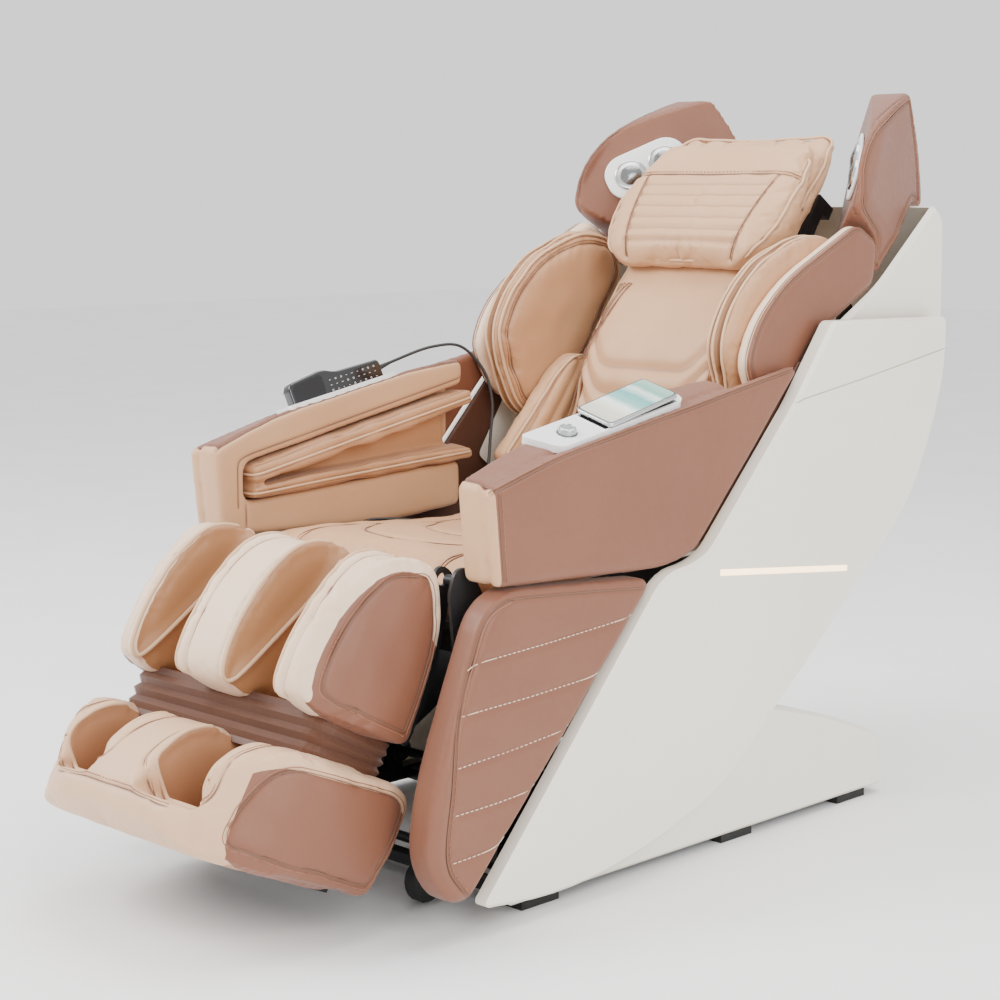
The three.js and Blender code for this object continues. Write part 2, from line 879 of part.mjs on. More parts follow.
add(backrest, "back_frame", backFrame(), material.steel);
add(backrest, "back_shell", backShell(), material.shell);
add(backrest, "back_cushion", backCushion(), material.tan);
addPair(backrest, "waist_pad", plate(waistPadProfile, 176, 230, 12), material.tan);
addPair(backrest, "shoulder_panel", plate(shoulderPanelProfile, 290, 327, 8), material.brown);
addPair(backrest, "shoulder_airbag", plate(shoulderAirbagProfile, 231, 289, 12), material.tan);
addPair(backrest, "head_wing", headWing(), material.brown);
addPair(backrest, "speaker_plate", speakerPlate(), material.white);
const pillow = common(slab(pillowFront, -100, -10, 12), plate(pillowSide, -230, 230));
add(backrest, "head_pillow", pillow, material.tan);

// ---- Massage carriage -------------------------------------------------------------------------------
const CARRIAGE = { z: 180, height: 120 };

function carriage() {
  const { z, height } = CARRIAGE;
  return join(
    block(-120, 120, 64, 78, z, z + height),
    block(-60, 60, 77, 130, z + 20, z + 100),
    rod(7, -96, 96, 44, z + 60, 12),
    ...bothSides(86, 96).map(([from, to]) => block(from, to, 38, 65, z + 50, z + 70)),
  );
}

function massageArm() {
  const middle = CARRIAGE.z + 60;
  const arm = plate(
    [
      [33, middle - 14, 6],
      [56, middle - 12, 6],
      [56, middle + 12, 6],
      [44, middle + 90, 6],
      [32, middle + 90, 6],
      [33, middle + 14, 6],
      [28, middle - 84, 6],
      [40, middle - 88, 6],
    ],
    56,
    66,
  );
  const rollers = [84, -80].map((up) => rod(12, 44, 78, 36, middle + up, 16));
  return cut(join(arm, ...rollers), rod(7.6, 50, 70, 44, middle, 16));
}

add(backrest, "massage_carriage", carriage(), material.black);
addPair(backrest, "massage_arm", massageArm(), material.black);

// ---- Leg rest ---------------------------------------------------------------------------------------
// Local frame: pivot at the origin, -Y to the shin side, -Z down along the calf.
const calfProfile = [
  [-34, 12, 24],
  [-116, -2, 50],
  [-168, -90, 60],
  [-178, -200, 60],
  [-166, -252, 24],
  [-120, -264, 20],
  [50, -252, 20],
  [28, -70, 60],
];
const footProfile = [
  [56, -292, 24],
  [-148, -324, 20],
  [-200, -354, 50],
  [-248, -455, 40],
  [-240, -490, 14],
  [-206, -508, 14],
  [84, -470, 20],
  [104, -390, 40],
  [98, -310, 20],
];
const padHalf = 212;
const legPanel = { outer: 258 };
const slideRod = { x: 130, y: 76, radius: 9 };

function legFrame() {
  const pieces = [block(-225, 225, 52, 60, -240, -150)];
  const arm = [
    [-18, 18, 14],
    [18, 18, 14],
    [62, -140, 14],
    [62, -242, 8],
    [50, -242, 8],
    [46, -130, 14],
    [-18, -18, 14],
  ];
  for (const [from, to] of bothSides(224, 230)) pieces.push(plate(arm, from, to));
  for (const side of [-1, 1]) {
    pieces.push(post(slideRod.radius, side * slideRod.x, slideRod.y, -455, -160));
    const ends = [side * (slideRod.x - 14), side * (slideRod.x + 14)].sort((a, b) => a - b);
    pieces.push(block(ends[0], ends[1], 59, 92, -240, -156));
  }
  return cut(join(...pieces), rod(9.6, -236, 236, 0, 0, 20));
}

// A block with a trough for each leg, open to the front. The trough's floor is at the given depth.
// Room inside the side panels for the frame's pivot arms.
const armRoom = () => [block(padHalf, 231, -30, 80, -250, 30)];

function withTroughs(body, floor, bottom, top) {
  const [x, half] = [112, 58];
  const troughs = [-x, x].map((middle) => {
    const section = [
      [middle - half, -300],
      [middle + half, -300],
      [middle + half - 8, floor, 50],
      [middle - half + 8, floor, 50],
    ];
    const shape = new THREE.Shape(outline(section, 4));
    const depth = top - bottom;
    return new THREE.ExtrudeGeometry(shape, { depth, bevelEnabled: false }).translate(0, 0, bottom);
  });
  return cut(body, ...troughs);
}

const limited = (profile, rear) => profile.map(([a, b, reach]) => [Math.min(a, rear), b, reach]);

// Seen from above, the front corners of the leg rest and of the foot section are rounded.
function roundedFront(geometry, plan) {
  const both = [...plan, ...plan.toReversed().map(([a, b, reach]) => [-a, b, reach])];
  const shape = new THREE.Shape(outline(both, 4));
  const column = new THREE.ExtrudeGeometry(shape, { depth: 620, bevelEnabled: false }).translate(0, 0, -560);
  return common(geometry, column);
}

const calfPlan = [
  [204, -184, 30],
  [259, -70, 90],
  [259, 140],
];
const footPlan = [
  [140, -252, 100],
  [259, -130, 70],
  [259, 140],
];

function calfPad() {
  const body = roundedFront(plate(limited(calfProfile, 44), -padHalf, padHalf, 8), calfPlan);
  return withTroughs(body, -28, -300, 60);
}

function footPad() {
  const body = [
    [52, -296, 20],
    [-148, -324, 20],
    [-200, -354, 50],
    [-248, -455, 40],
    [-240, -490, 14],
    [-206, -508, 14],
    [52, -474, 14],
  ];
  return withTroughs(roundedFront(plate(body, -padHalf, padHalf, 8), footPlan), 26, -452, -250);
}

function footBase() {
  const bores = [-1, 1].map((side) => post(slideRod.radius + 0.6, side * slideRod.x, slideRod.y, -520, -200));
  const sole = [
    [-70, -490.9],
    [54, -474.6],
    [54, -462],
    [100, -462],
    [100, -474],
    [-70, -497],
  ];
  return cut(
    join(block(-180, 180, 54, 98, -466, -310), plate(sole, -150, 150)),
    ...bores,
  );
}

add(legs, "leg_frame", legFrame(), material.steel);
add(legs, "calf_pad", calfPad(), material.tan);
const calfSide = roundedFront(plate(calfProfile, padHalf + 1, legPanel.outer, 6), calfPlan);
addPair(legs, "calf_side", cut(calfSide, ...armRoom()), material.brown);
add(legs, "foot_base", footBase(), material.black);
add(legs, "foot_pad", footPad(), material.tan);
const footSide = roundedFront(plate(footProfile, padHalf + 1, legPanel.outer, 6), footPlan);
addPair(legs, "foot_side", footSide, material.brown);

export default chair;
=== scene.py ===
"""Looks of the massage chair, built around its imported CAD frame.

Metres, +Z up, and the sitter faces -Y. Profiles are in millimetres, in the frame that each comment names.
"""

import bpy
import bmesh
import json
import math
import numpy as np
from mathutils import Matrix, Vector
from mathutils.bvhtree import BVHTree

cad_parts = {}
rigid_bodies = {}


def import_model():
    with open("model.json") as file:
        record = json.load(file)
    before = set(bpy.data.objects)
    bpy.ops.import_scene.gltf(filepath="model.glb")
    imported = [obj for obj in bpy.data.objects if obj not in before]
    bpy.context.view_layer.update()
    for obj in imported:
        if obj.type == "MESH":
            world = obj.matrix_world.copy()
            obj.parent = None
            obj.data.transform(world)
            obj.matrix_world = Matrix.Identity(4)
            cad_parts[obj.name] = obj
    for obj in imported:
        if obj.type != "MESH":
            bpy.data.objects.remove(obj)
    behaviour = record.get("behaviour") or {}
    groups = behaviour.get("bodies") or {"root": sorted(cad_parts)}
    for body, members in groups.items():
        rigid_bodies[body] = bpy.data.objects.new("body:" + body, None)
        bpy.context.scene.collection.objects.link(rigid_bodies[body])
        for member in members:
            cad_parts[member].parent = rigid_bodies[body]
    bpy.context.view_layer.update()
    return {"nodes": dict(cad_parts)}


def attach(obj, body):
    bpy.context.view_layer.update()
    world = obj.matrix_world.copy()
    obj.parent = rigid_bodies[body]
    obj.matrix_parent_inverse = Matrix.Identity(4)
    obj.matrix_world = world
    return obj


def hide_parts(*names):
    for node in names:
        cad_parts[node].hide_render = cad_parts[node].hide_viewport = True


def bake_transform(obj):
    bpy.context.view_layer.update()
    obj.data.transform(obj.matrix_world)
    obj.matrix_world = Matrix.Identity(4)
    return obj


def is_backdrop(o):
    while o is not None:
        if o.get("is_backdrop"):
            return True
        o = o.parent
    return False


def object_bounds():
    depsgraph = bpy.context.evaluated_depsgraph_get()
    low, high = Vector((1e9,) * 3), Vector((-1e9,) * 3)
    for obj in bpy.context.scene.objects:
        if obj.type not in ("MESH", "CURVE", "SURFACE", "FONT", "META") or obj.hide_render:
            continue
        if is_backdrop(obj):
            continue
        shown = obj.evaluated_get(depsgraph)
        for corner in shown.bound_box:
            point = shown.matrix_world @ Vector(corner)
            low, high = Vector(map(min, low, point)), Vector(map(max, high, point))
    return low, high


for thing in list(bpy.data.objects):
    bpy.data.objects.remove(thing)
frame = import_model()
NODES = frame["nodes"]
SCENE = bpy.context.scene
MM = 0.001
SIDES = (("left", 1), ("right", -1))
CLOTH_FRAMES = 20


def turned(y, z, lean):
    return Matrix.Translation((0, y, z)) @ Matrix.Rotation(-math.radians(lean), 4, "X")


def arm_top(x, y, z):
    roll = math.copysign(math.radians(17), x)
    turn = Matrix.Rotation(math.radians(10.4), 4, "X") @ Matrix.Rotation(roll, 4, "Y")
    return Matrix.Translation((x, y, z)) @ turn


WORLD = Matrix.Identity(4)
BACK = turned(0.25, 0.5, 33)
LEG = turned(-0.345, 0.5, 31.3)
TRAY = arm_top(0.309, -0.072, 0.722)
CRADLE = arm_top(-0.309, -0.080, 0.718)

# ---- Camera -----------------------------------------------------------------------------------------
camera = bpy.data.objects.new("camera", bpy.data.cameras.new("camera"))
SCENE.collection.objects.link(camera)
camera.data.lens = 76.6
camera.data.sensor_width = 36
camera.location = (2.455, -2.451, 1.065)
camera.rotation_euler = (math.radians(90 - 8.32), 0, math.radians(45))
camera.data.clip_start = 0.05
SCENE.camera = camera


# ---- Material nodes ---------------------------------------------------------------------------------
def srgb(r, g, b):
    return tuple(((c / 255 + 0.055) / 1.055) ** 2.4 for c in (r, g, b)) + (1.0,)


class Paint:
    """A material with a Principled shader and short calls for its nodes."""

    def __init__(self, name, **constants):
        self.material = bpy.data.materials.new(name)
        self.material.use_nodes = True
        self.tree = self.material.node_tree
        self.shader = self.tree.nodes["Principled BSDF"]
        for socket, value in constants.items():
            self.shader.inputs[socket.replace("_", " ")].default_value = value
        self.place = self.node("ShaderNodeTexCoord").outputs["Object"]

    def node(self, kind, **settings):
        made = self.tree.nodes.new(kind)
        for key, value in settings.items():
            setattr(made, key, value)
        return made

    def link(self, source, target):
        self.tree.links.new(source, target)

    def give(self, socket, value):
        if isinstance(value, bpy.types.NodeSocket):
            self.link(value, socket)
        else:
            socket.default_value = value

    def feed(self, node, **values):
        for key, value in values.items():
            self.give(node.inputs[key], value)

    def noise(self, scale, detail=3, rough=0.5, distortion=0.0):
        made = self.node("ShaderNodeTexNoise")
        self.feed(made, Vector=self.place, Scale=scale, Detail=detail, Roughness=rough, Distortion=distortion)
        return made.outputs["Fac"]

    def cells(self, scale):
        made = self.node("ShaderNodeTexVoronoi", feature="DISTANCE_TO_EDGE")
        self.feed(made, Vector=self.place, Scale=scale)
        return made.outputs["Distance"]

    def ranged(self, value, low, high, to_low, to_high):
        made = self.node("ShaderNodeMapRange")
        self.link(value, made.inputs["Value"])
        for key, number in zip(("From Min", "From Max", "To Min", "To Max"), (low, high, to_low, to_high)):
            made.inputs[key].default_value = number
        return made.outputs["Result"]

    def math(self, how, a, b=0.0):
        made = self.node("ShaderNodeMath", operation=how)
        for socket, value in zip(made.inputs, (a, b)):
            self.give(socket, value)
        return made.outputs[0]

    def mixed(self, factor, a, b, how="MIX"):
        made = self.node("ShaderNodeMix", data_type="RGBA", blend_type=how)
        made.clamp_factor = True
        for socket, value in zip((made.inputs[0], made.inputs[6], made.inputs[7]), (factor, a, b)):
            self.give(socket, value)
        return made.outputs[2]

    def field(self, name):
        return self.node("ShaderNodeAttribute", attribute_name=name).outputs["Fac"]

    def colour(self, value):
        self.link(value, self.shader.inputs["Base Color"])

    def roughness(self, value):
        self.link(value, self.shader.inputs["Roughness"])

    def bump(self, height, strength, distance):
        made = self.node("ShaderNodeBump")
        self.feed(made, Height=height, Strength=strength, Distance=distance)
        self.link(made.outputs["Normal"], self.shader.inputs["Normal"])


def leather(name, base, second=None, third=None, rough=0.47, grain=0.5):
    """Grained leather. Where the field "zone" is over 0 it has the second colour, where "band" is over 0 the
    third, and the crease field darkens it: painted shade in the valleys of grooves and seams."""
    p = Paint(name, Specular_IOR_Level=0.42, Sheen_Weight=0.12, Sheen_Roughness=0.45, Coat_Weight=0.06)
    p.shader.inputs["Coat Roughness"].default_value = 0.35
    colour = srgb(*base)
    if third:
        colour = p.mixed(p.math("GREATER_THAN", p.field("band"), 0.0), colour, srgb(*third))
    if second:
        colour = p.mixed(p.math("GREATER_THAN", p.field("zone"), 0.0), colour, srgb(*second))
    cloud = p.ranged(p.noise(4.5, 4, 0.55), 0.3, 0.7, 0.0, 1.0)
    colour = p.mixed(cloud, colour, p.mixed(1.0, colour, (0.90, 0.87, 0.85, 1), "MULTIPLY"))
    pores = p.cells(620)
    speck = p.ranged(pores, 0.0, 0.25, 0.22, 0.0)
    colour = p.mixed(speck, colour, p.mixed(1.0, colour, (0.62, 0.55, 0.5, 1), "MULTIPLY"))
    # Painted shade: a dark brown multiply, laid in where the crease field is high along groove and seam valleys.
    dark = p.mixed(1.0, colour, (0.36, 0.28, 0.23, 1), "MULTIPLY")
    colour = p.mixed(p.field("crease_shade"), colour, dark)
    wear = p.ranged(p.node("ShaderNodeNewGeometry").outputs["Pointiness"], 0.52, 0.60, 0.0, 0.30)
    p.colour(p.mixed(wear, colour, p.mixed(1.0, colour, (1.25, 1.22, 1.2, 1), "MULTIPLY")))
    fold = p.noise(75, 6, 0.6, 0.5)
    p.roughness(p.ranged(fold, 0.3, 0.7, rough - 0.05, rough + 0.08))
    height = p.math("ADD", p.math("MULTIPLY", pores, 1.1), p.math("MULTIPLY", fold, 0.5))
    p.bump(height, grain * 0.5, 0.0007)
    return p.material


def moulded(name, colour, rough=0.3, coat=0.15, texture=0.15, metal=0.0, wear=0.1):
    """Moulded or painted surface: faint texture, uneven gloss and a little wear along its edges."""
    p = Paint(name, Metallic=metal, Coat_Weight=coat, Specular_IOR_Level=0.5)
    p.shader.inputs["Coat Roughness"].default_value = 0.15
    base = srgb(*colour)
    cloud = p.noise(3.2, 3)
    tone = p.mixed(p.ranged(cloud, 0.35, 0.65, 0.0, 1.0), base, tuple(c * 0.965 for c in base[:3]) + (1,))
    edge = p.ranged(p.node("ShaderNodeNewGeometry").outputs["Pointiness"], 0.53, 0.62, 0.0, wear)
    p.colour(p.mixed(edge, tone, tuple(min(1, c * 1.3 + 0.02) for c in base[:3]) + (1,)))
    fine = p.noise(900, 2)
    p.roughness(p.ranged(p.noise(24, 4), 0.3, 0.7, rough - 0.03, rough + 0.05))
    p.bump(fine, texture * 0.4, 0.0002)
    return p.material


BROWN = (128, 80, 58)
TAN = (210, 166, 126)
CREAM = (238, 210, 182)
DEEP = (172, 124, 84)
M = {
    "arm": leather("arm_leather", TAN, BROWN),
    "brown": leather("brown_leather", BROWN),
    # Painted shade: the liner leather is the brown leather darkened to 0.72, used on the side liners, the
    # shells' inward faces and the bellows.
    "liner": leather("shaded_brown_leather", (92, 58, 42)),
    "tan": leather("tan_leather", TAN),
    "seat": leather("seat_leather", (208, 162, 120)),
    "calf": leather("calf_leather", DEEP, BROWN, CREAM),
    "foot": leather("foot_leather", (176, 126, 90), BROWN, (220, 180, 144)),
    "bag": leather("airbag_leather", (196, 148, 108)),
    "border": leather("bordered_leather", BROWN, CREAM),
    "piping": leather("piping_leather", (214, 178, 142), rough=0.42),
    "piping_dark": leather("dark_piping_leather", (150, 102, 76), rough=0.42),
    "thread": leather("thread", (122, 88, 68), rough=0.6),
    "thread_light": leather("light_thread", (226, 206, 184), rough=0.6),
    "shell": moulded("ivory_shell", (240, 233, 218), 0.34, 0.12, 0.12),
    "white": moulded("white_gloss", (242, 242, 241), 0.16, 0.5, 0.05),
    "steel": moulded("black_steel", (46, 46, 48), 0.42, 0.0, 0.4, 0.55, 0.5),
    "black": moulded("black_plastic", (30, 30, 31), 0.5, 0.0, 0.6),
    "gloss": moulded("black_gloss", (10, 11, 13), 0.08, 0.8, 0.02),
    "rubber": moulded("rubber", (24, 24, 24), 0.75, 0.0, 0.9),
    "silver": moulded("satin_metal", (196, 197, 199), 0.24, 0.0, 0.15, 1.0),
    "icon": moulded("printed_marks", (232, 234, 236), 0.4, 0.0, 0.1),
}


def light_material(name, colour, strength):
    p = Paint(name, Roughness=0.4, Emission_Strength=strength)
    glow = p.ranged(p.noise(14, 2), 0.3, 0.7, 0.0, 0.18)
    tone = p.mixed(glow, colour, tuple(c * 0.9 for c in colour[:3]) + (1,))
    p.colour(tone)
    p.link(tone, p.shader.inputs["Emission Color"])
    return p.material


def screen_material(name, along, zero):
    """A lit screen with a soft banded gradient, from sand through foam to sea green."""
    p = Paint(name, Roughness=0.06, Coat_Weight=0.6, Emission_Strength=0.42)
    ramp = p.node("ShaderNodeValToRGB")
    shift = p.node("ShaderNodeVectorMath", operation="SUBTRACT")
    p.link(p.place, shift.inputs[0])
    shift.inputs[1].default_value = zero
    dot = p.node("ShaderNodeVectorMath", operation="DOT_PRODUCT")
    p.link(shift.outputs[0], dot.inputs[0])
    dot.inputs[1].default_value = along
    wave = p.math("MULTIPLY", p.math("SUBTRACT", p.noise(26, 5, 0.6, 1.6), 0.5), 0.10)
    value = p.math("ADD", p.ranged(dot.outputs["Value"], -0.078, 0.078, 0.0, 1.0), wave)
    p.link(value, ramp.inputs["Fac"])
    stops = [(0.0, (188, 186, 170)), (0.22, (205, 200, 182)), (0.36, (224, 232, 226)),
             (0.46, (120, 176, 168)), (0.62, (84, 156, 152)), (0.74, (196, 214, 204)),
             (0.82, (104, 160, 146)), (1.0, (150, 178, 160))]
    while len(ramp.color_ramp.elements) < len(stops):
        ramp.color_ramp.elements.new(0.5)
    for element, (position, colour) in zip(ramp.color_ramp.elements, stops):
        element.position = position
        element.color = srgb(*colour)
    p.colour(ramp.outputs["Color"])
    p.link(ramp.outputs["Color"], p.shader.inputs["Emission Color"])
    return p.material


# ---- Mesh helpers -----------------------------------------------------------------------------------
def coords(mesh, what="co"):
    flat = np.empty(len(mesh.vertices) * 3, np.float32)
    mesh.vertices.foreach_get(what, flat)
    return flat.reshape(-1, 3).astype(float)


def set_coords(mesh, places):
    mesh.vertices.foreach_set("co", places.astype(np.float32).ravel())
    mesh.update()


def mapped(matrix, points):
    """Points in millimetres in a local frame, as an array in the row frame."""
    m = np.array(matrix, float)
    return np.asarray(points, float) * MM @ m[:3, :3].T + m[:3, 3]


def local(matrix, places):
    """Row frame points as millimetres in a local frame."""
    m = np.array(matrix.inverted(), float)
    return (places @ m[:3, :3].T + m[:3, 3]) / MM


def outline(corners, steps=6):
    """Closed 2D outline whose corners (a, b, reach) are rounded."""
    at = [Vector(c[:2]) for c in corners]
    count = len(at)
    reach = [c[2] if len(c) > 2 else 0 for c in corners]
    made = []
    for i, here in enumerate(at):
        before, after = at[i - 1] - here, at[(i + 1) % count] - here
        room = min(1, before.length / (reach[i] + reach[i - 1] + 0.01),
                   after.length / (reach[i] + reach[(i + 1) % count] + 0.01))
        r = reach[i] * room
        if r < 0.3:
            made.append(here.copy())
            continue
        start, end = here + before.normalized() * r, here + after.normalized() * r
        weight = math.sin(before.angle(after) / 2)
        for k in range(steps + 1):
            t = k / steps
            a, b, c = (1 - t) ** 2, 2 * weight * t * (1 - t), t * t
            made.append((start * a + here * b + end * c) / (a + b + c))
    return [tuple(p) for i, p in enumerate(made) if (p - made[i - 1]).length > 0.2]


def resampled(path, step, closed=False):
    """The same path with points every step."""
    a = np.asarray(path, float)
    if closed:
        a = np.vstack([a, a[:1]])
    gaps = np.r_[0, np.cumsum(np.linalg.norm(np.diff(a, axis=0), axis=1))]
    count = max(2, int(round(gaps[-1] / step)) + 1)
    where = np.linspace(0, gaps[-1], count)
    if closed:
        where = where[:-1]
    return np.stack([np.interp(where, gaps, a[:, k]) for k in range(a.shape[1])], 1)


def eased(path, rounds=2, closed=False):
    a = np.asarray(path, float)
    for _ in range(rounds):
        before, after = np.roll(a, 1, 0), np.roll(a, -1, 0)
        b = (before + 2 * a + after) / 4
        if not closed:
            b[0], b[-1] = a[0], a[-1]
        a = b
    return a


def distance_to(places, path, closed=False, reach=0.05):
    """Distance of each point from a path, cut off at reach."""
    a = np.asarray(path, float)
    if closed:
        a = np.vstack([a, a[:1]])
    found = np.full(len(places), float(reach))
    near = np.where(np.all((places > a.min(0) - reach) & (places < a.max(0) + reach), axis=1))[0]
    p, best = places[near], np.full(len(near), float(reach))
    for s, e in zip(a[:-1], a[1:]):
        d = e - s
        size = d @ d
        if size < 1e-14:
            continue
        t = np.clip(((p - s) @ d) / size, 0, 1)
        np.minimum(best, np.linalg.norm(p - s - t[:, None] * d, axis=1), out=best)
    found[near] = best
    return found


def inside(points, polygon):
    """Distance of 2D points into a polygon, negative outside."""
    poly = np.asarray(polygon, float)
    nxt = np.roll(poly, -1, 0)
    best, odd = np.full(len(points), 1e9), np.zeros(len(points), bool)
    for a, b in zip(poly, nxt):
        d = b - a
        t = np.clip(((points - a) @ d) / max(d @ d, 1e-12), 0, 1)
        best = np.minimum(best, np.linalg.norm(points - a - t[:, None] * d, axis=1))
        cross = ((a[1] > points[:, 1]) != (b[1] > points[:, 1]))
        rise = (b[1] - a[1]) if abs(b[1] - a[1]) > 1e-12 else 1e-12
        odd ^= cross & (points[:, 0] < d[0] * (points[:, 1] - a[1]) / rise + a[0])
    return np.where(odd, best, -best)


def ripple(places, seed, wave, flat=(1, 1, 1)):
    """Smooth unevenness between about -1 and 1 with the given wavelength in metres."""
    draw = np.random.default_rng(seed)
    total = np.zeros(len(places))
    for _ in range(9):
        direction = draw.normal(size=3) * np.array(flat)
        direction /= max(np.linalg.norm(direction), 1e-9)
        rate = 2 * math.pi / wave * draw.uniform(0.6, 1.5)
        total += np.sin(places @ direction * rate + draw.uniform(0, 6.3))
    return total / 4.0


def new_object(name, vertices, faces, material, smooth=True):
    mesh = bpy.data.meshes.new(name)
    mesh.from_pydata([tuple(v) for v in vertices], [], [tuple(f) for f in faces])
    mesh.update()
    made = bpy.data.objects.new(name, mesh)
    SCENE.collection.objects.link(made)
    mesh.materials.append(material)
    if smooth:
        mesh.polygons.foreach_set("use_smooth", [True] * len(mesh.polygons))
    return made


def evaluated(obj):
    graph = bpy.context.evaluated_depsgraph_get()
    return bpy.data.meshes.new_from_object(obj.evaluated_get(graph))


def bake(obj):
    mesh = evaluated(obj)
    obj.modifiers.clear()
    old, obj.data = obj.data, mesh
    bpy.data.meshes.remove(old)


def rings_along(path, radii, sides, closed=False, up=(0.13, 0.21, 0.97)):
    """Rings of points around a path, which turn about it as little as they can."""
    ahead = np.roll(path, -1, 0) - np.roll(path, 1, 0)
    if not closed:
        ahead[0], ahead[-1] = path[1] - path[0], path[-1] - path[-2]
    ahead /= np.linalg.norm(ahead, axis=1)[:, None] + 1e-12
    side = np.cross(ahead[0], up)
    made = []
    for p, way, radius in zip(path, ahead, radii):
        side = side - way * (side @ way)
        side /= np.linalg.norm(side)
        other = np.cross(way, side)
        for k in range(sides):
            angle = 2 * math.pi * k / sides
            made.append(p + radius * (math.cos(angle) * side + math.sin(angle) * other))
    return made


def ring_faces(count, sides, base=0, closed=False):
    """Faces between rings of points, with a cap at each end unless the last ring meets the first."""
    made = []
    for i in range(count if closed else count - 1):
        here, there = base + i * sides, base + (i + 1) % count * sides
        for k in range(sides):
            m = (k + 1) % sides
            made.append((here + k, here + m, there + m, there + k))
    if not closed:
        made.append(tuple(base + k for k in reversed(range(sides))))
        made.append(tuple(base + (count - 1) * sides + k for k in range(sides)))
    return made


class Trim:
    """Tubes and stitches gathered into one mesh."""

    def __init__(self, name, body, material, slot):
        self.name, self.body, self.material, self.slot = name, body, material, slot
        self.vertices, self.faces = [], []

    def tube(self, path, radius, sides=8, closed=False, step=0.006):
        a = eased(resampled(path, step, closed), 2, closed)
        if len(a) < 3:
            return
        radii = np.full(len(a), radius)
        if not closed:
            radii[0] = radii[-1] = radius * 0.35
        self.faces += ring_faces(len(a), sides, len(self.vertices), closed)
        self.vertices += rings_along(a, radii, sides, closed)

    def stitches(self, path, normals, pitch=0.0085, length=0.0056, radius=0.00075, closed=False):
        """Short threads along a path, standing a little out of the surface."""
        both = resampled(np.hstack([np.asarray(path), np.asarray(normals)]), pitch, closed)
        a, n = both[:, :3], both[:, 3:]
        ahead = np.gradient(a, axis=0)
        for p, out, way in zip(a[:-1], n, ahead):
            out = out / (np.linalg.norm(out) + 1e-12)
            way = way / (np.linalg.norm(way) + 1e-12)
            side = np.cross(out, way)
            self.faces += ring_faces(4, 5, len(self.vertices))
            for along, size, up in ((-0.5, 0.35, -0.2), (-0.28, 1, 0.35), (0.28, 1, 0.35), (0.5, 0.35, -0.2)):
                middle = p + way * along * length + out * radius * up
                for k in range(5):
                    angle = 2 * math.pi * k / 5
                    turn = math.cos(angle) * side + math.sin(angle) * out
                    self.vertices.append(middle + radius * size * turn)

    def done(self):
        if not self.faces:
            return None
        made = new_object(self.name, self.vertices, self.faces, self.material)
        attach(made, self.body)
        return made


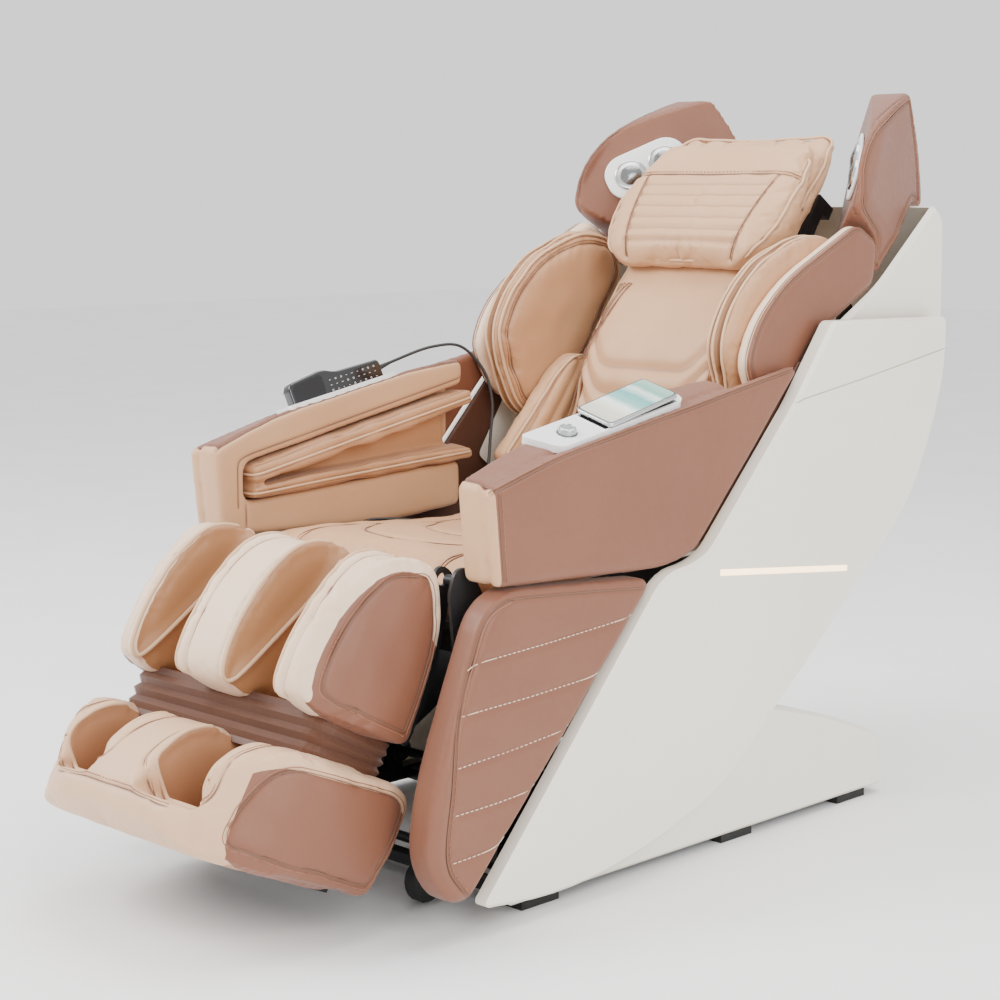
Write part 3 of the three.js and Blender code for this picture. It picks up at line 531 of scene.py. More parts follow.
class Soft:
    """A padded piece made from CAD nodes: remeshed, swollen as cloth, subdivided, then seamed."""

    def __init__(self, name, nodes, body, matrix=WORLD, voxel=0.005, smooth=8, shrink=0.0, swell=None):
        self.name, self.nodes, self.body, self.matrix = name, nodes, body, matrix
        joined = bmesh.new()
        for n in nodes:
            joined.from_mesh(NODES[n].data)
        bmesh.ops.remove_doubles(joined, verts=joined.verts, dist=2e-5)
        mesh = bpy.data.meshes.new(name)
        joined.to_mesh(mesh)
        joined.free()
        for attribute in ("custom_normal", "sharp_edge", "sharp_face"):
            if attribute in mesh.attributes:
                mesh.attributes.remove(mesh.attributes[attribute])
        self.object = bpy.data.objects.new(name, mesh)
        SCENE.collection.objects.link(self.object)
        remesh = self.object.modifiers.new("remesh", "REMESH")
        remesh.mode = "VOXEL"
        remesh.voxel_size = voxel
        if smooth:
            ease = self.object.modifiers.new("ease", "SMOOTH")
            ease.factor, ease.iterations = 0.5, smooth
        bake(self.object)
        if shrink and not (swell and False):
            mesh = self.object.data
            set_coords(mesh, coords(mesh) - coords(mesh, "normal") * shrink)
        if swell:
            self.swell(**swell)
        self.object.modifiers.new("fine", "SUBSURF").levels = 1
        bake(self.object)
        self.places = coords(self.object.data)
        self.crease_shade = np.zeros(len(self.places))
        self.fields = {}
        self.refresh()

    def swell(self, cap, pressure):
        """Cloth under pressure, its movement held under a cap."""
        obj, mesh = self.object, self.object.data
        rest = coords(mesh)
        cloth = obj.modifiers.new("cloth", "CLOTH")
        cloth.settings.use_pressure = True
        cloth.settings.uniform_pressure_force = pressure
        cloth.settings.effector_weights.gravity = 0
        cloth.settings.quality = 3
        cloth.collision_settings.use_collision = False
        cloth.point_cache.frame_start, cloth.point_cache.frame_end = 1, CLOTH_FRAMES
        for step in range(1, CLOTH_FRAMES + 1):
            SCENE.frame_set(step)
        result = evaluated(obj)
        moved = coords(result) - rest
        bpy.data.meshes.remove(result)
        size = np.linalg.norm(moved, axis=1)[:, None] + 1e-12
        obj.modifiers.clear()
        SCENE.frame_set(1)
        set_coords(mesh, rest + moved * (cap * np.tanh(size / cap) / size))

    def refresh(self):
        mesh = self.object.data
        set_coords(mesh, self.places)
        self.normals = coords(mesh, "normal")
        faces = [tuple(f.vertices) for f in mesh.polygons]
        self.tree = BVHTree.FromPolygons([Vector(v) for v in self.places], faces)
        self.at = local(self.matrix, self.places)

    def lay(self, points, along, step=0.006, closed=False, rounds=2):
        """A path of local points in mm laid on the surface, looking along a local direction."""
        path = resampled(mapped(self.matrix, points), step, closed)
        way = (self.matrix.to_3x3() @ Vector(along)).normalized()
        hits = []
        for p in path:
            hit, normal, _, _ = self.tree.ray_cast(Vector(p) - way * 0.6, way, 1.2)
            if hit is not None:
                hits.append((hit, normal))
        return self.ends(hits, rounds, closed)

    def near(self, points, step=0.006, closed=False, rounds=2):
        """A path of local points in mm brought to the nearest surface."""
        path = resampled(mapped(self.matrix, points), step, closed)
        hits = [self.tree.find_nearest(Vector(p))[:2] for p in path]
        return self.ends(hits, rounds, closed)

    def ends(self, hits, rounds, closed):
        places = eased([h[0] for h in hits], rounds, closed)
        normals = eased([h[1] for h in hits], rounds, closed)
        return places, normals / (np.linalg.norm(normals, axis=1)[:, None] + 1e-12)

    def groove(self, path, depth=0.003, width=0.006, dark=0.55, closed=False, line=0.0022):
        far = distance_to(self.places, path, closed, max(0.03, width * 3))
        self.places -= self.normals * (depth * np.exp(-((far / width) ** 2)))[:, None]
        # Painted shade: the crease field darkens a thin line along the valley, by up to dark.
        self.crease_shade = np.maximum(self.crease_shade, dark * np.exp(-((far / line) ** 2)))

    def raise_by(self, amount):
        self.places += self.normals * np.asarray(amount)[:, None]

    def done(self, material, slot, fill):
        set_coords(self.object.data, self.places)
        mesh = self.object.data
        for name, values in {"crease_shade": self.crease_shade, **self.fields}.items():
            attribute = mesh.attributes.new(name, "FLOAT", "POINT")
            attribute.data.foreach_set("value", values.astype(np.float32))
        mesh.materials.clear()
        mesh.materials.append(material)
        mesh.polygons.foreach_set("use_smooth", [True] * len(mesh.polygons))
        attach(self.object, self.body)
        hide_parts(*self.nodes)
        return self.object


# ---- The handset's cord -----------------------------------------------------------------------------
CORD_RADIUS = 0.0027
cord_start = mapped(CRADLE, [[0, 103.6, 20], [0, 143, 24]])
cord_points = np.vstack([cord_start, np.array([
    [-292, 128, 789], [-272, 176, 788], [-250, 214, 742], [-238, 222, 690], [-226, 206, 630],
    [-206, 176, 566], [-200, 134, 512], [-210, 90, 496], [-226, 30, 496], [-244, -24, 502],
    [-262, -62, 500], [-268, -84, 482], [-268, -88, 474]]) * MM])


def catmull(points, steps):
    """Centripetal Catmull-Rom curve through points."""
    p = np.vstack([2 * points[0] - points[1], points, 2 * points[-1] - points[-2]])
    made = []
    for i in range(1, len(p) - 2):
        knots = [0.0]
        for a, b in zip(p[i - 1:i + 2], p[i:i + 3]):
            knots.append(knots[-1] + math.sqrt(np.linalg.norm(b - a)))
        t0, t1, t2, t3 = knots
        for t in np.linspace(t1, t2, steps, endpoint=False):
            a1 = (t1 - t) / (t1 - t0) * p[i - 1] + (t - t0) / (t1 - t0) * p[i]
            a2 = (t2 - t) / (t2 - t1) * p[i] + (t - t1) / (t2 - t1) * p[i + 1]
            a3 = (t3 - t) / (t3 - t2) * p[i + 1] + (t - t2) / (t3 - t2) * p[i + 2]
            b1 = (t2 - t) / (t2 - t0) * a1 + (t - t0) / (t2 - t0) * a2
            b2 = (t3 - t) / (t3 - t1) * a2 + (t - t1) / (t3 - t1) * a3
            made.append((t2 - t) / (t2 - t1) * b1 + (t - t1) / (t2 - t1) * b2)
    return np.array(made + [p[-2]])


def tube_object(name, path, radii):
    vertices = rings_along(np.asarray(path), radii, 12, up=(0.1, 0.2, 1.0))
    return new_object(name, vertices, ring_faces(len(path), 12), M["black"])


cord_line = catmull(cord_points, 8)
cord = tube_object("handset_cord", cord_line, [CORD_RADIUS] * len(cord_line))
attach(cord, "seat_unit")
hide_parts("remote_cable")
RELIEF_STEP, RELIEF_LENGTH = 0.0012, 0.030
relief_line = resampled(cord_line[:9], RELIEF_STEP)[:int(RELIEF_LENGTH / RELIEF_STEP)]
relief_radii = []
for i in range(len(relief_line)):
    share = i / (len(relief_line) - 1)
    ring = 0.0005 if i % 4 < 2 and 0.15 < share < 0.9 else 0.0
    relief_radii.append(0.0052 - 0.0022 * share - ring)
relief = tube_object("cord_relief", relief_line, relief_radii)
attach(relief, "seat_unit")

# ---- Profiles of the pads: corners (y, z, reach of the rounding), in the frame of their body --------
ARM_TOP_OUTER = [(-366, 644), (-292, 665), (-219, 684), (-72, 710), (74, 734), (214, 759), (354, 783)]
ARM_TOP_INNER = [(-366, 651), (-306, 675), (-247, 696), (-95, 727), (57, 755), (190, 766), (354, 783)]
LOWER_PANEL = [(-366, 501, 60), (-14, 476, 12), (-410, 58, 12), (-446, 56, 24), (-492, 110, 60),
               (-482, 224, 90)]
SHOULDER_PANEL = [(-92, 196, 20), (-158, 234, 20), (-174, 296, 40), (-152, 396, 60), (-34, 582, 14),
                  (30, 586, 12), (62, 520, 12), (6, 424, 40), (-38, 332, 30), (-38, 190, 12)]
SHOULDER_BAG = [(-60, 156, 30), (-120, 190, 30), (-190, 250, 30), (-202, 330, 40), (-176, 436, 50),
                (-92, 534, 40), (-8, 566, 30), (52, 520, 20), (52, 180, 20)]
WAIST = [(-100, 46, 16), (-8, 26, 16), (44, 120, 40), (44, 318, 20), (-30, 318, 40), (-66, 250, 50)]
WING = [(-58, 594, 16), (-88, 660, 30), (-82, 738, 40), (-18, 838, 50), (28, 896, 14), (60, 874, 30),
        (112, 828, 30), (150, 785, 16), (175, 740, 14), (130, 735, 8), (68, 532, 20), (34, 592, 10)]
CALF = [(-34, 12, 24), (-116, -2, 50), (-168, -90, 60), (-178, -200, 60), (-166, -252, 24), (-120, -264, 20),
        (50, -252, 20), (28, -70, 60)]
FOOT = [(56, -292, 24), (-148, -324, 20), (-200, -354, 50), (-248, -455, 40), (-240, -490, 14),
        (-206, -508, 14), (84, -470, 20), (104, -390, 40), (98, -310, 20)]
PILLOW = [(-150, 458, 40), (150, 458, 40), (204, 540, 50), (200, 660, 60), (166, 756, 30), (-166, 756, 30),
          (-200, 660, 60), (-204, 540, 50)]


def at_x(x, outline_2d):
    """Side outline (y, z) in mm as 3D points at x."""
    return [(x, a, b) for a, b in outline_2d]


def offset(polygon, distance):
    """The outline moved inwards (mm)."""
    a = np.asarray(polygon, float)
    ahead = np.roll(a, -1, 0) - np.roll(a, 1, 0)
    ahead /= np.linalg.norm(ahead, axis=1)[:, None] + 1e-9
    normal = np.stack([-ahead[:, 1], ahead[:, 0]], 1)
    area = np.sum(a[:, 0] * np.roll(a[:, 1], -1) - np.roll(a[:, 0], -1) * a[:, 1])
    return a + normal * distance * (1 if area > 0 else -1)


class Trims:
    """The piping, seam lines and stitches of one body, gathered by kind."""

    def __init__(self, name, body):
        kinds = (("piping", "leather_tan"), ("piping_dark", "leather_brown"),
                 ("thread", "leather_brown"), ("thread_light", "leather_tan"))
        self.by = {kind: Trim(f"{name}_{kind}", body, M[kind], slot) for kind, slot in kinds}

    def seam(self, soft, laid, depth, width, stitched=True, closed=False, side=0.006, line=True):
        """A sewn seam: a valley with painted shade and a dark thread line in it, and stitches beside it."""
        path, normals = laid
        if len(path) < 4:
            return
        soft.groove(path, depth, width, closed=closed)
        if line:
            self.by["thread"].tube(path - normals * depth * 0.75, 0.0009, sides=6, closed=closed)
        if stitched:
            across = np.cross(normals, np.gradient(path, axis=0))
            across /= np.linalg.norm(across, axis=1)[:, None] + 1e-12
            spots = [soft.tree.find_nearest(Vector(p)) for p in path + across * side]
            where, out = (np.array([s[i] for s in spots]) for i in (0, 1))
            sunk = depth * math.exp(-((side / width) ** 2))
            self.by["piping_dark"].stitches(where - out * (sunk - 0.0002), out, closed=closed)

    def piped(self, soft, laid, radius, closed=False, lift=0.0006, groove=True):
        """A cord of piping, half sunk in its own valley."""
        path, normals = laid
        if len(path) < 4:
            return
        if groove:
            soft.groove(path, radius * 0.9, radius * 2.4, 0.7, closed, radius * 1.5)
        self.by["piping"].tube(path + normals * lift, radius, closed=closed)

    def done(self):
        for trim in self.by.values():
            trim.done()


def flipped(points, sign):
    return [(sign * p[0], *p[1:]) for p in points]


# ---- Arms -------------------------------------------------------------------------------------------
def line_at(y, line):
    return np.interp(y, [p[0] for p in line], [p[1] for p in line])


for side, sign in SIDES:
    arm = Soft(f"arm_{side}_leather", [f"arm_pad_{side}", f"arm_outer_panel_{side}"], "seat_unit", smooth=5)
    x, y, z = np.abs(arm.at[:, 0]), arm.at[:, 1], arm.at[:, 2]
    inner, outer = line_at(y, ARM_TOP_INNER), line_at(y, ARM_TOP_OUTER)
    top = inner + (outer - inner) * np.clip((x - 278) / 76, 0, 1)
    on_top = np.minimum(z - top + 11, x - 281.5)
    front = y + 366 - (644 - z) * 14 / 142 - 8
    zone = np.minimum(np.maximum(on_top, x - 345), front)
    arm.fields["zone"] = np.maximum(zone, np.minimum(x - 322, y - 194))
    arm.raise_by(0.0006 * ripple(arm.places, 3, 0.16))
    trims = Trims(f"arm_{side}", "seat_unit")
    arm_seams = (
        ([(352, a, b - 4) for a, b in ARM_TOP_OUTER], 0.0022, 0.0035, True),
        ([(281, a, b - 3) for a, b in ARM_TOP_INNER[:-1]], 0.0022, 0.0035, False),
        ([(353, -351, 636), (353, -340, 512)], 0.0018, 0.003, True),
        ([(284, -355, 653), (350, -355, 645)], 0.0018, 0.003, False),
        ([(277, -306, 552), (277, -306, 506)], 0.0014, 0.003, False),
        ([(277, -322, 548), (277, -322, 626), (277, -300, 634), (277, 188, 732)], 0.0012, 0.003, False),
    )
    for points, depth, width, stitched in arm_seams:
        trims.seam(arm, arm.near(flipped(points, sign)), depth, width, stitched, side=0.005)
    arm.done(M["arm"], "leather_brown", 0.85)

    bag = Soft(f"arm_{side}_airbag", [f"arm_airbag_{side}"], "seat_unit", voxel=0.004, smooth=5, shrink=0.002,
               swell=dict(cap=0.005, pressure=3))
    x, y, z = np.abs(bag.at[:, 0]), bag.at[:, 1], bag.at[:, 2]
    edge = np.clip(1 - (x - 262) / 40, 0, 1)
    bag.raise_by(0.0036 * ripple(bag.places, 11 + sign, 0.11, (0.3, 1, 0.3)) * edge)
    bag.raise_by(0.0009 * ripple(bag.places, 17, 0.03, (0.2, 1, 0.2)) * np.clip((-200 - y) / 90, 0, 1))
    for front, rear, thick in ((586, 682, 30), (559, 588, 22)):
        leaf = [(264, 200, rear + thick / 2), (264, -296, front + thick / 2), (300, -300, front + thick / 2)]
        trims.piped(bag, bag.near(flipped(leaf, sign)), 0.0022)
        for up in (thick - 1, 1):
            inset = [(274, 196, rear + up), (274, -288, front + up)]
            trims.seam(bag, bag.near(flipped(inset, sign)), 0.001, 0.003, line=False, stitched=False)
    bag.done(M["bag"], "leather_tan", 0.55)

    # ---- Lower side panel
    panel = Soft(f"lower_{side}_leather", [f"lower_panel_{side}"], "seat_unit", smooth=6)
    face = offset(outline(LOWER_PANEL), 40)
    panel.raise_by(0.0007 * ripple(panel.places, 5, 0.2))
    front_line = [(361, -334, 488), (361, -384, 474), (361, -428, 400), (361, -448, 230), (361, -458, 120),
                  (361, -420, 66)]
    front_curve = catmull(np.array(front_line, float), 6).tolist()
    trims.seam(panel, panel.near(flipped(front_curve, sign)), 0.0026, 0.004, side=0.005)
    top_line = [(361, -330, 487), (361, -200, 478), (361, -40, 464)]
    trims.seam(panel, panel.near(flipped(top_line, sign)), 0.0018, 0.004, stitched=False)
    for front_z, rear_z, rear_y in ((402, 424, -72), (332, 346, -146), (258, 276, -208), (190, 198, -276),
                                    (122, 130, -336)):
        start = -430 - (400 - front_z) * 0.075
        middle = (361, (start + rear_y) / 2, (front_z + rear_z) / 2 - 2)
        row = [(361, start + 6, front_z), middle, (361, rear_y, rear_z)]
        laid = panel.near(flipped(row, sign), 0.01)
        panel.groove(laid[0], 0.0014, 0.007, 0.12)
        trims.by["thread_light"].stitches(laid[0] - laid[1] * 0.0012, laid[1], 0.0095, 0.0068, 0.00085)
    panel.done(M["brown"], "leather_brown", 0.9)
    trims.done()

    # Painted shade: the side liner takes the liner leather, the brown darkened as shade.
    liner = Soft(f"liner_{side}_leather", [f"side_liner_{side}"], "seat_unit", smooth=2, voxel=0.003)
    liner.raise_by(0.0004 * ripple(liner.places, 8, 0.1))
    liner.done(M["liner"], "leather_brown", 0.3)

# ---- Seat cushion -----------------------------------------------------------------------------------
seat = Soft("seat_leather", ["seat_cushion"], "seat_unit", voxel=0.006, smooth=14, shrink=0.006,
            swell=dict(cap=0.022, pressure=4))
trims = Trims("seat", "seat_unit")
for sign in (1, -1):
    long_line = [(sign * x, y, 560) for x, y in ((170, -300), (176, -180), (166, 0), (150, 190))]
    trims.seam(seat, seat.lay(catmull(np.array(long_line, float), 8), (0, 0, -1)), 0.006, 0.010)
    arc = [(sign * 160, -120, 560), (sign * 110, -196, 560), (sign * 40, -226, 560), (0, -230, 560)]
    trims.seam(seat, seat.lay(catmull(np.array(arc, float), 8), (0, 0, -1)), 0.004, 0.009, stitched=False)
    arc = [(sign * 156, 20, 560), (sign * 100, -70, 560), (sign * 40, -100, 560), (0, -104, 560)]
    trims.seam(seat, seat.lay(catmull(np.array(arc, float), 8), (0, 0, -1)), 0.004, 0.009, stitched=False)
front = [(-236, -330, 474), (0, -332, 474), (236, -330, 474)]
trims.piped(seat, seat.near(front), 0.0028)
seat.raise_by(0.0012 * ripple(seat.places, 21, 0.09))
seat.done(M["seat"], "leather_tan", 0.6)
trims.done()

# ---- Backrest ---------------------------------------------------------------------------------------
trims = Trims("back", "backrest")
back = Soft("back_leather", ["back_cushion"], "backrest", BACK, voxel=0.006, smooth=10, shrink=0.007,
            swell=dict(cap=0.018, pressure=4))
FRONT = (0, 1, 0)
for z0 in (84, 130, 176, 222, 268):
    rise = ((-166, 92), (-104, 8), (-84, 0), (84, 0), (104, 8), (166, 92))
    chevron = [(x, -300, z0 + up) for x, up in rise]
    laid = back.lay(chevron, FRONT, rounds=3)
    back.groove(laid[0], 0.0065, 0.012, 0.5, line=0.003)
border = offset(outline([(-150, 24, 20), (150, 24, 20), (170, 300, 60), (174, 460, 60), (-174, 460, 60),
                         (-170, 300, 60)]), 12)
lower = [(a, -300, b) for a, b in border if b < 455]
order = sorted(range(len(lower)), key=lambda i: math.atan2(lower[i][0], 900 - lower[i][2]))
trims.seam(back, back.lay([lower[i] for i in order], FRONT), 0.003, 0.006, side=0.005)
for sign in (1, -1):
    for x, top in ((60, 806), (120, 800), (176, 780)):
        pleat = [(sign * x, -300, 520), (sign * x * 1.04, -300, 640), (sign * x * 0.96, -300, top - 16)]
        back.groove(back.lay(pleat, FRONT)[0], 0.005, 0.012, 0.4, line=0.003)
edge = [(-148, 26), (148, 26), (168, 300), (172, 460), (198, 690), (186, 780), (150, 804),
        (-150, 804), (-186, 780), (-198, 690), (-172, 460), (-168, 300)]
rim = [(a, -34 if 200 < b < 760 else -18, b) for a, b in edge]
trims.piped(back, back.near(resampled(rim, 14, True), closed=True), 0.0028, closed=True)
back.raise_by(0.0012 * ripple(back.places, 31, 0.08))
back.done(M["tan"], "leather_tan", 0.6)

pillow = Soft("pillow_leather", ["head_pillow"], "head_pillow", BACK, voxel=0.005, smooth=8, shrink=0.005,
              swell=dict(cap=0.016, pressure=4))
ptrims = Trims("pillow", "head_pillow")
inner_border = [(-150, -300, 652), (-141, -300, 600), (-128, -300, 520), (-120, -300, 478)]
top_seam = [(-202, -300, 656), (0, -300, 652), (202, -300, 656)]
ptrims.seam(pillow, pillow.lay(top_seam, FRONT), 0.003, 0.005, side=0.005)
for sign in (1, -1):
    ptrims.seam(pillow, pillow.lay(flipped(inner_border, sign), FRONT), 0.003, 0.005, side=0.005)
for z0 in (630, 605, 580, 555, 530, 505):
    half = 143 - (640 - z0) * 0.14
    laid = pillow.lay([(-half, -300, z0), (half, -300, z0)], FRONT)
    pillow.groove(laid[0], 0.0045, 0.0075, 0.4, line=0.0025)
for low, high in ((470, 505), (580, 606)):
    pillow.groove(pillow.lay([(0, -300, low), (0, -300, high)], FRONT)[0], 0.003, 0.006, 0.5)
ring = [(a, -300, b) for a, b in offset(outline(PILLOW), 9)]
ptrims.piped(pillow, pillow.lay(resampled(ring, 8, True), FRONT, closed=True), 0.0028, closed=True)
pillow.raise_by(0.0009 * ripple(pillow.places, 41, 0.07))
pillow.done(M["tan"], "leather_tan", 0.6)
ptrims.done()

for side, sign in SIDES:
    waist = Soft(f"waist_{side}_leather", [f"waist_pad_{side}"], "backrest", BACK, smooth=8, shrink=0.004,
                 swell=dict(cap=0.008, pressure=3))
    for shift in (0, 34, 68, 100):
        run = [(sign * 100, start + shift * share, up)
               for start, share, up in ((-78, 1, 52), (-66, 0.9, 150), (-46, 0.8, 305))]
        laid = waist.lay(catmull(np.array(run, float), 6), (sign, 0, 0))
        waist.groove(laid[0], 0.004, 0.008, 0.45, line=0.0025)
    rim = at_x(sign * 182, offset(outline(WAIST), 2))
    trims.piped(waist, waist.near(rim, closed=True), 0.0026, closed=True)
    waist.raise_by(0.0008 * ripple(waist.places, 51, 0.06))
    waist.done(M["seat"], "leather_tan", 0.6)

    bag = Soft(f"shoulder_{side}_airbag", [f"shoulder_airbag_{side}"], "backrest", BACK, smooth=8,
               shrink=0.004, swell=dict(cap=0.008, pressure=3))
    shape = outline(SHOULDER_BAG)
    trims.piped(bag, bag.near(at_x(sign * 236, offset(shape, 6)), closed=True), 0.0028, closed=True)
    middle = bag.near(at_x(sign * 262, shape), closed=True)
    bag.groove(middle[0], 0.010, 0.007, 0.9, closed=True, line=0.006)
    for x in (252, 272):
        laid = bag.near(at_x(sign * x, shape), closed=True)
        trims.piped(bag, laid, 0.0024, closed=True, groove=False, lift=0.0)
    inset = bag.lay([(sign * 100, a, b) for a, b in offset(shape, 26)], (sign, 0, 0), closed=True)
    trims.seam(bag, inset, 0.002, 0.006, closed=True, side=0.005)
    bag.raise_by(0.0011 * ripple(bag.places, 61, 0.08))
    bag.done(M["bag"], "leather_tan", 0.5)

    panel = Soft(f"shoulder_{side}_leather", [f"shoulder_panel_{side}"], "backrest", BACK, smooth=6)
    shape = outline(SHOULDER_PANEL)
    panel.fields["zone"] = np.minimum(315 - np.abs(panel.at[:, 0]), 16)
    outer = panel.near(at_x(sign * 322, offset(shape, 7)), closed=True)
    trims.seam(panel, outer, 0.002, 0.0035, closed=True, side=0.005)
    inner = panel.near(at_x(sign * 312, shape), closed=True)
    trims.seam(panel, inner, 0.002, 0.0035, closed=True, stitched=False)
    panel.done(M["border"], "leather_brown", 0.85)

    wing = Soft(f"wing_{side}_leather", [f"head_wing_{side}"], "backrest", BACK, smooth=6)
    wing.raise_by(0.0006 * ripple(wing.places, 71, 0.15))
    shape = outline(WING)

    def leaned(points):
        return [(px - sign * 0.19 * max(0, pz - 630), py, pz) for px, py, pz in points]

    outer = wing.near(leaned(at_x(sign * 329, offset(shape, 14))), closed=True)
    trims.seam(wing, outer, 0.002, 0.004, closed=True, side=0.005)
    inner = wing.near(leaned(at_x(sign * 316, shape[:40])))
    trims.seam(wing, inner, 0.002, 0.004, stitched=False)
    wing.done(M["brown"], "leather_brown", 0.9)
trims.done()

# ---- Leg rest and foot section ----------------------------------------------------------------------
TROUGH = 112
calf_outline, foot_outline = outline(CALF), outline(FOOT)


def legs_piece(name, nodes, body, edge):
    """A soft leg piece with its half widths and its distances from the front edge, seen from the side."""
    soft = Soft(name, nodes, body, LEG, voxel=0.0055, smooth=7, shrink=0.003,
                swell=dict(cap=0.006, pressure=3))
    return soft, np.abs(soft.at[:, 0]), distance_to(soft.at[:, 1:], edge, reach=300)


def run_of(shape, start, end):
    """The part of a closed outline that runs from the point nearest start to the one nearest end."""
    first, last = (min(range(len(shape)), key=lambda i: math.dist(shape[i], spot)) for spot in (start, end))
    return shape[first:last + 1] if first <= last else shape[first:] + shape[:last + 1]


calf_edge = run_of(calf_outline, (28, -70), (-166, -252))
calf_nodes = ["calf_pad", "calf_side_left", "calf_side_right"]
calf, x, edge = legs_piece("calf_leather", calf_nodes, "leg_rest", calf_edge)
calf.fields["zone"] = np.minimum(edge - 24, x - 214)
calf.fields["band"] = np.minimum(np.maximum(52 - x, x - 172), 60 - edge)
trims = Trims("calf", "leg_rest")
forward = [p for p in calf_outline if p[1] > -258 and (p[0] < -60 or p[1] > -30) and p[0] < -30]
forward = sorted(forward, key=lambda p: math.atan2(-(p[0] + 60), p[1] + 130) % (2 * math.pi))
for side, sign in SIDES:
    for edge, out in ((54, -1), (170, 1)):
        path = calf.near(at_x(sign * (edge + out * 1), forward))
        far = distance_to(calf.places, path[0])
        calf.raise_by(0.006 * np.exp(-((far / 0.009) ** 2)))
        trims.by["piping"].tube(path[0] + path[1] * 0.0062, 0.0034)
        inner = calf.near(at_x(sign * (edge + out * 14), forward))
        trims.seam(calf, inner, 0.003, 0.005, side=0.005)
    rim = [(sign * 259, a, b) for a, b in offset(calf_outline, 24)]
    border = calf.near(rim, closed=True)
    trims.seam(calf, border, 0.002, 0.0035, closed=True, side=-0.005)
calf.raise_by(0.0008 * ripple(calf.places, 81, 0.1))
calf.done(M["calf"], "leather_tan", 0.7)
trims.done()

foot_edge = run_of(foot_outline, (98, -310), (-206, -508))
foot_nodes = ["foot_pad", "foot_side_left", "foot_side_right"]
foot, x, edge = legs_piece("foot_leather", foot_nodes, "foot_section", foot_edge)
foot.fields["zone"] = np.minimum(edge - 24, x - 214)
well_plan = outline([(52, 0), (52, -452, 34), (172, -452, 34), (172, 0)])
above_well = np.stack([x, foot.at[:, 2] - 60 + 0.772 * (foot.at[:, 1] + 260)], 1)
foot.fields["band"] = np.minimum(-inside(above_well, well_plan), 60 - edge)
trims = Trims("foot", "foot_section")
for side, sign in SIDES:
    well = outline([(sign * 52, -292), (sign * 52, -452, 34), (sign * 172, -452, 34), (sign * 172, -292)])
    start = min(range(len(well)), key=lambda i: abs(well[i][0] - sign * 52) + abs(well[i][1] + 292))
    well = well[start:] + well[:start]
    opening = [(a, -260 + 0.0 * b, b + 60) for a, b in well]
    path = foot.lay(opening, (0, 0.79, -0.61))
    far = distance_to(foot.places, path[0])
    foot.raise_by(0.005 * np.exp(-((far / 0.008) ** 2)))
    trims.by["piping"].tube(path[0] + path[1] * 0.005, 0.0032)
    outside = [(sign * (TROUGH + (abs(a) - TROUGH) * 1.24), -260, (b + 372) * 1.12 - 372 + 60)
               for a, b in well]
    trims.seam(foot, foot.lay(outside, (0, 0.79, -0.61)), 0.002, 0.005, side=0.005)
    rim = [(sign * 259, a, b) for a, b in offset(foot_outline, 22)]
    trims.seam(foot, foot.near(rim, closed=True), 0.002, 0.0035, closed=True, side=-0.005)
lip = [(-150, -262, -452), (0, -262, -454), (150, -262, -452)]
trims.seam(foot, foot.near(lip), 0.002, 0.005, side=0.006)
foot.raise_by(0.0008 * ripple(foot.places, 91, 0.09))
foot.done(M["foot"], "leather_tan", 0.7)
trims.done()



# ---- Hard pieces ------------------------------------------------------------------------------------
def soft_edges_group():
    """Geometry nodes that weld a CAD mesh and smooth it except over its sharp edges."""
    tree = bpy.data.node_groups.new("smooth_by_angle", "GeometryNodeTree")
    tree.interface.new_socket("Geometry", in_out="INPUT", socket_type="NodeSocketGeometry")
    tree.interface.new_socket("Geometry", in_out="OUTPUT", socket_type="NodeSocketGeometry")
    kinds = ("NodeGroupInput", "GeometryNodeMergeByDistance", "GeometryNodeSetShadeSmooth",
             "GeometryNodeSetShadeSmooth", "NodeGroupOutput")
    start, weld, faces, edges, end = (tree.nodes.new(kind) for kind in kinds)
    weld.inputs["Distance"].default_value = 2e-5
    faces.domain, edges.domain = "FACE", "EDGE"
    faces.inputs["Shade Smooth"].default_value = True
    edges.inputs["Shade Smooth"].default_value = False
    angle = tree.nodes.new("GeometryNodeInputMeshEdgeAngle")
    sharp = tree.nodes.new("FunctionNodeCompare")
    sharp.operation = "GREATER_THAN"
    sharp.inputs[1].default_value = math.radians(38)
    tree.links.new(angle.outputs["Unsigned Angle"], sharp.inputs[0])
    tree.links.new(sharp.outputs[0], edges.inputs["Selection"])
    for a, b in ((start, weld), (weld, faces), (faces, edges), (edges, end)):
        tree.links.new(a.outputs[0], b.inputs[0])
    return tree


SMOOTHING = soft_edges_group()


def dress(node, material):
    """A CAD node that shows as it is, with a better material and smooth shading."""
    obj = NODES[node]
    mesh = obj.data
    if "custom_normal" in mesh.attributes:
        mesh.attributes.remove(mesh.attributes["custom_normal"])
    mesh.materials.clear()
    mesh.materials.append(material)
    obj.modifiers.new("smooth", "NODES").node_group = SMOOTHING


def smoothed(obj, limit=38):
    bm = bmesh.new()
    bm.from_mesh(obj.data)
    for face in bm.faces:
        face.smooth = True
    for edge in bm.edges:
        edge.smooth = len(edge.link_faces) == 2 and edge.calc_face_angle(0) < math.radians(limit)
    bm.to_mesh(obj.data)
    bm.free()


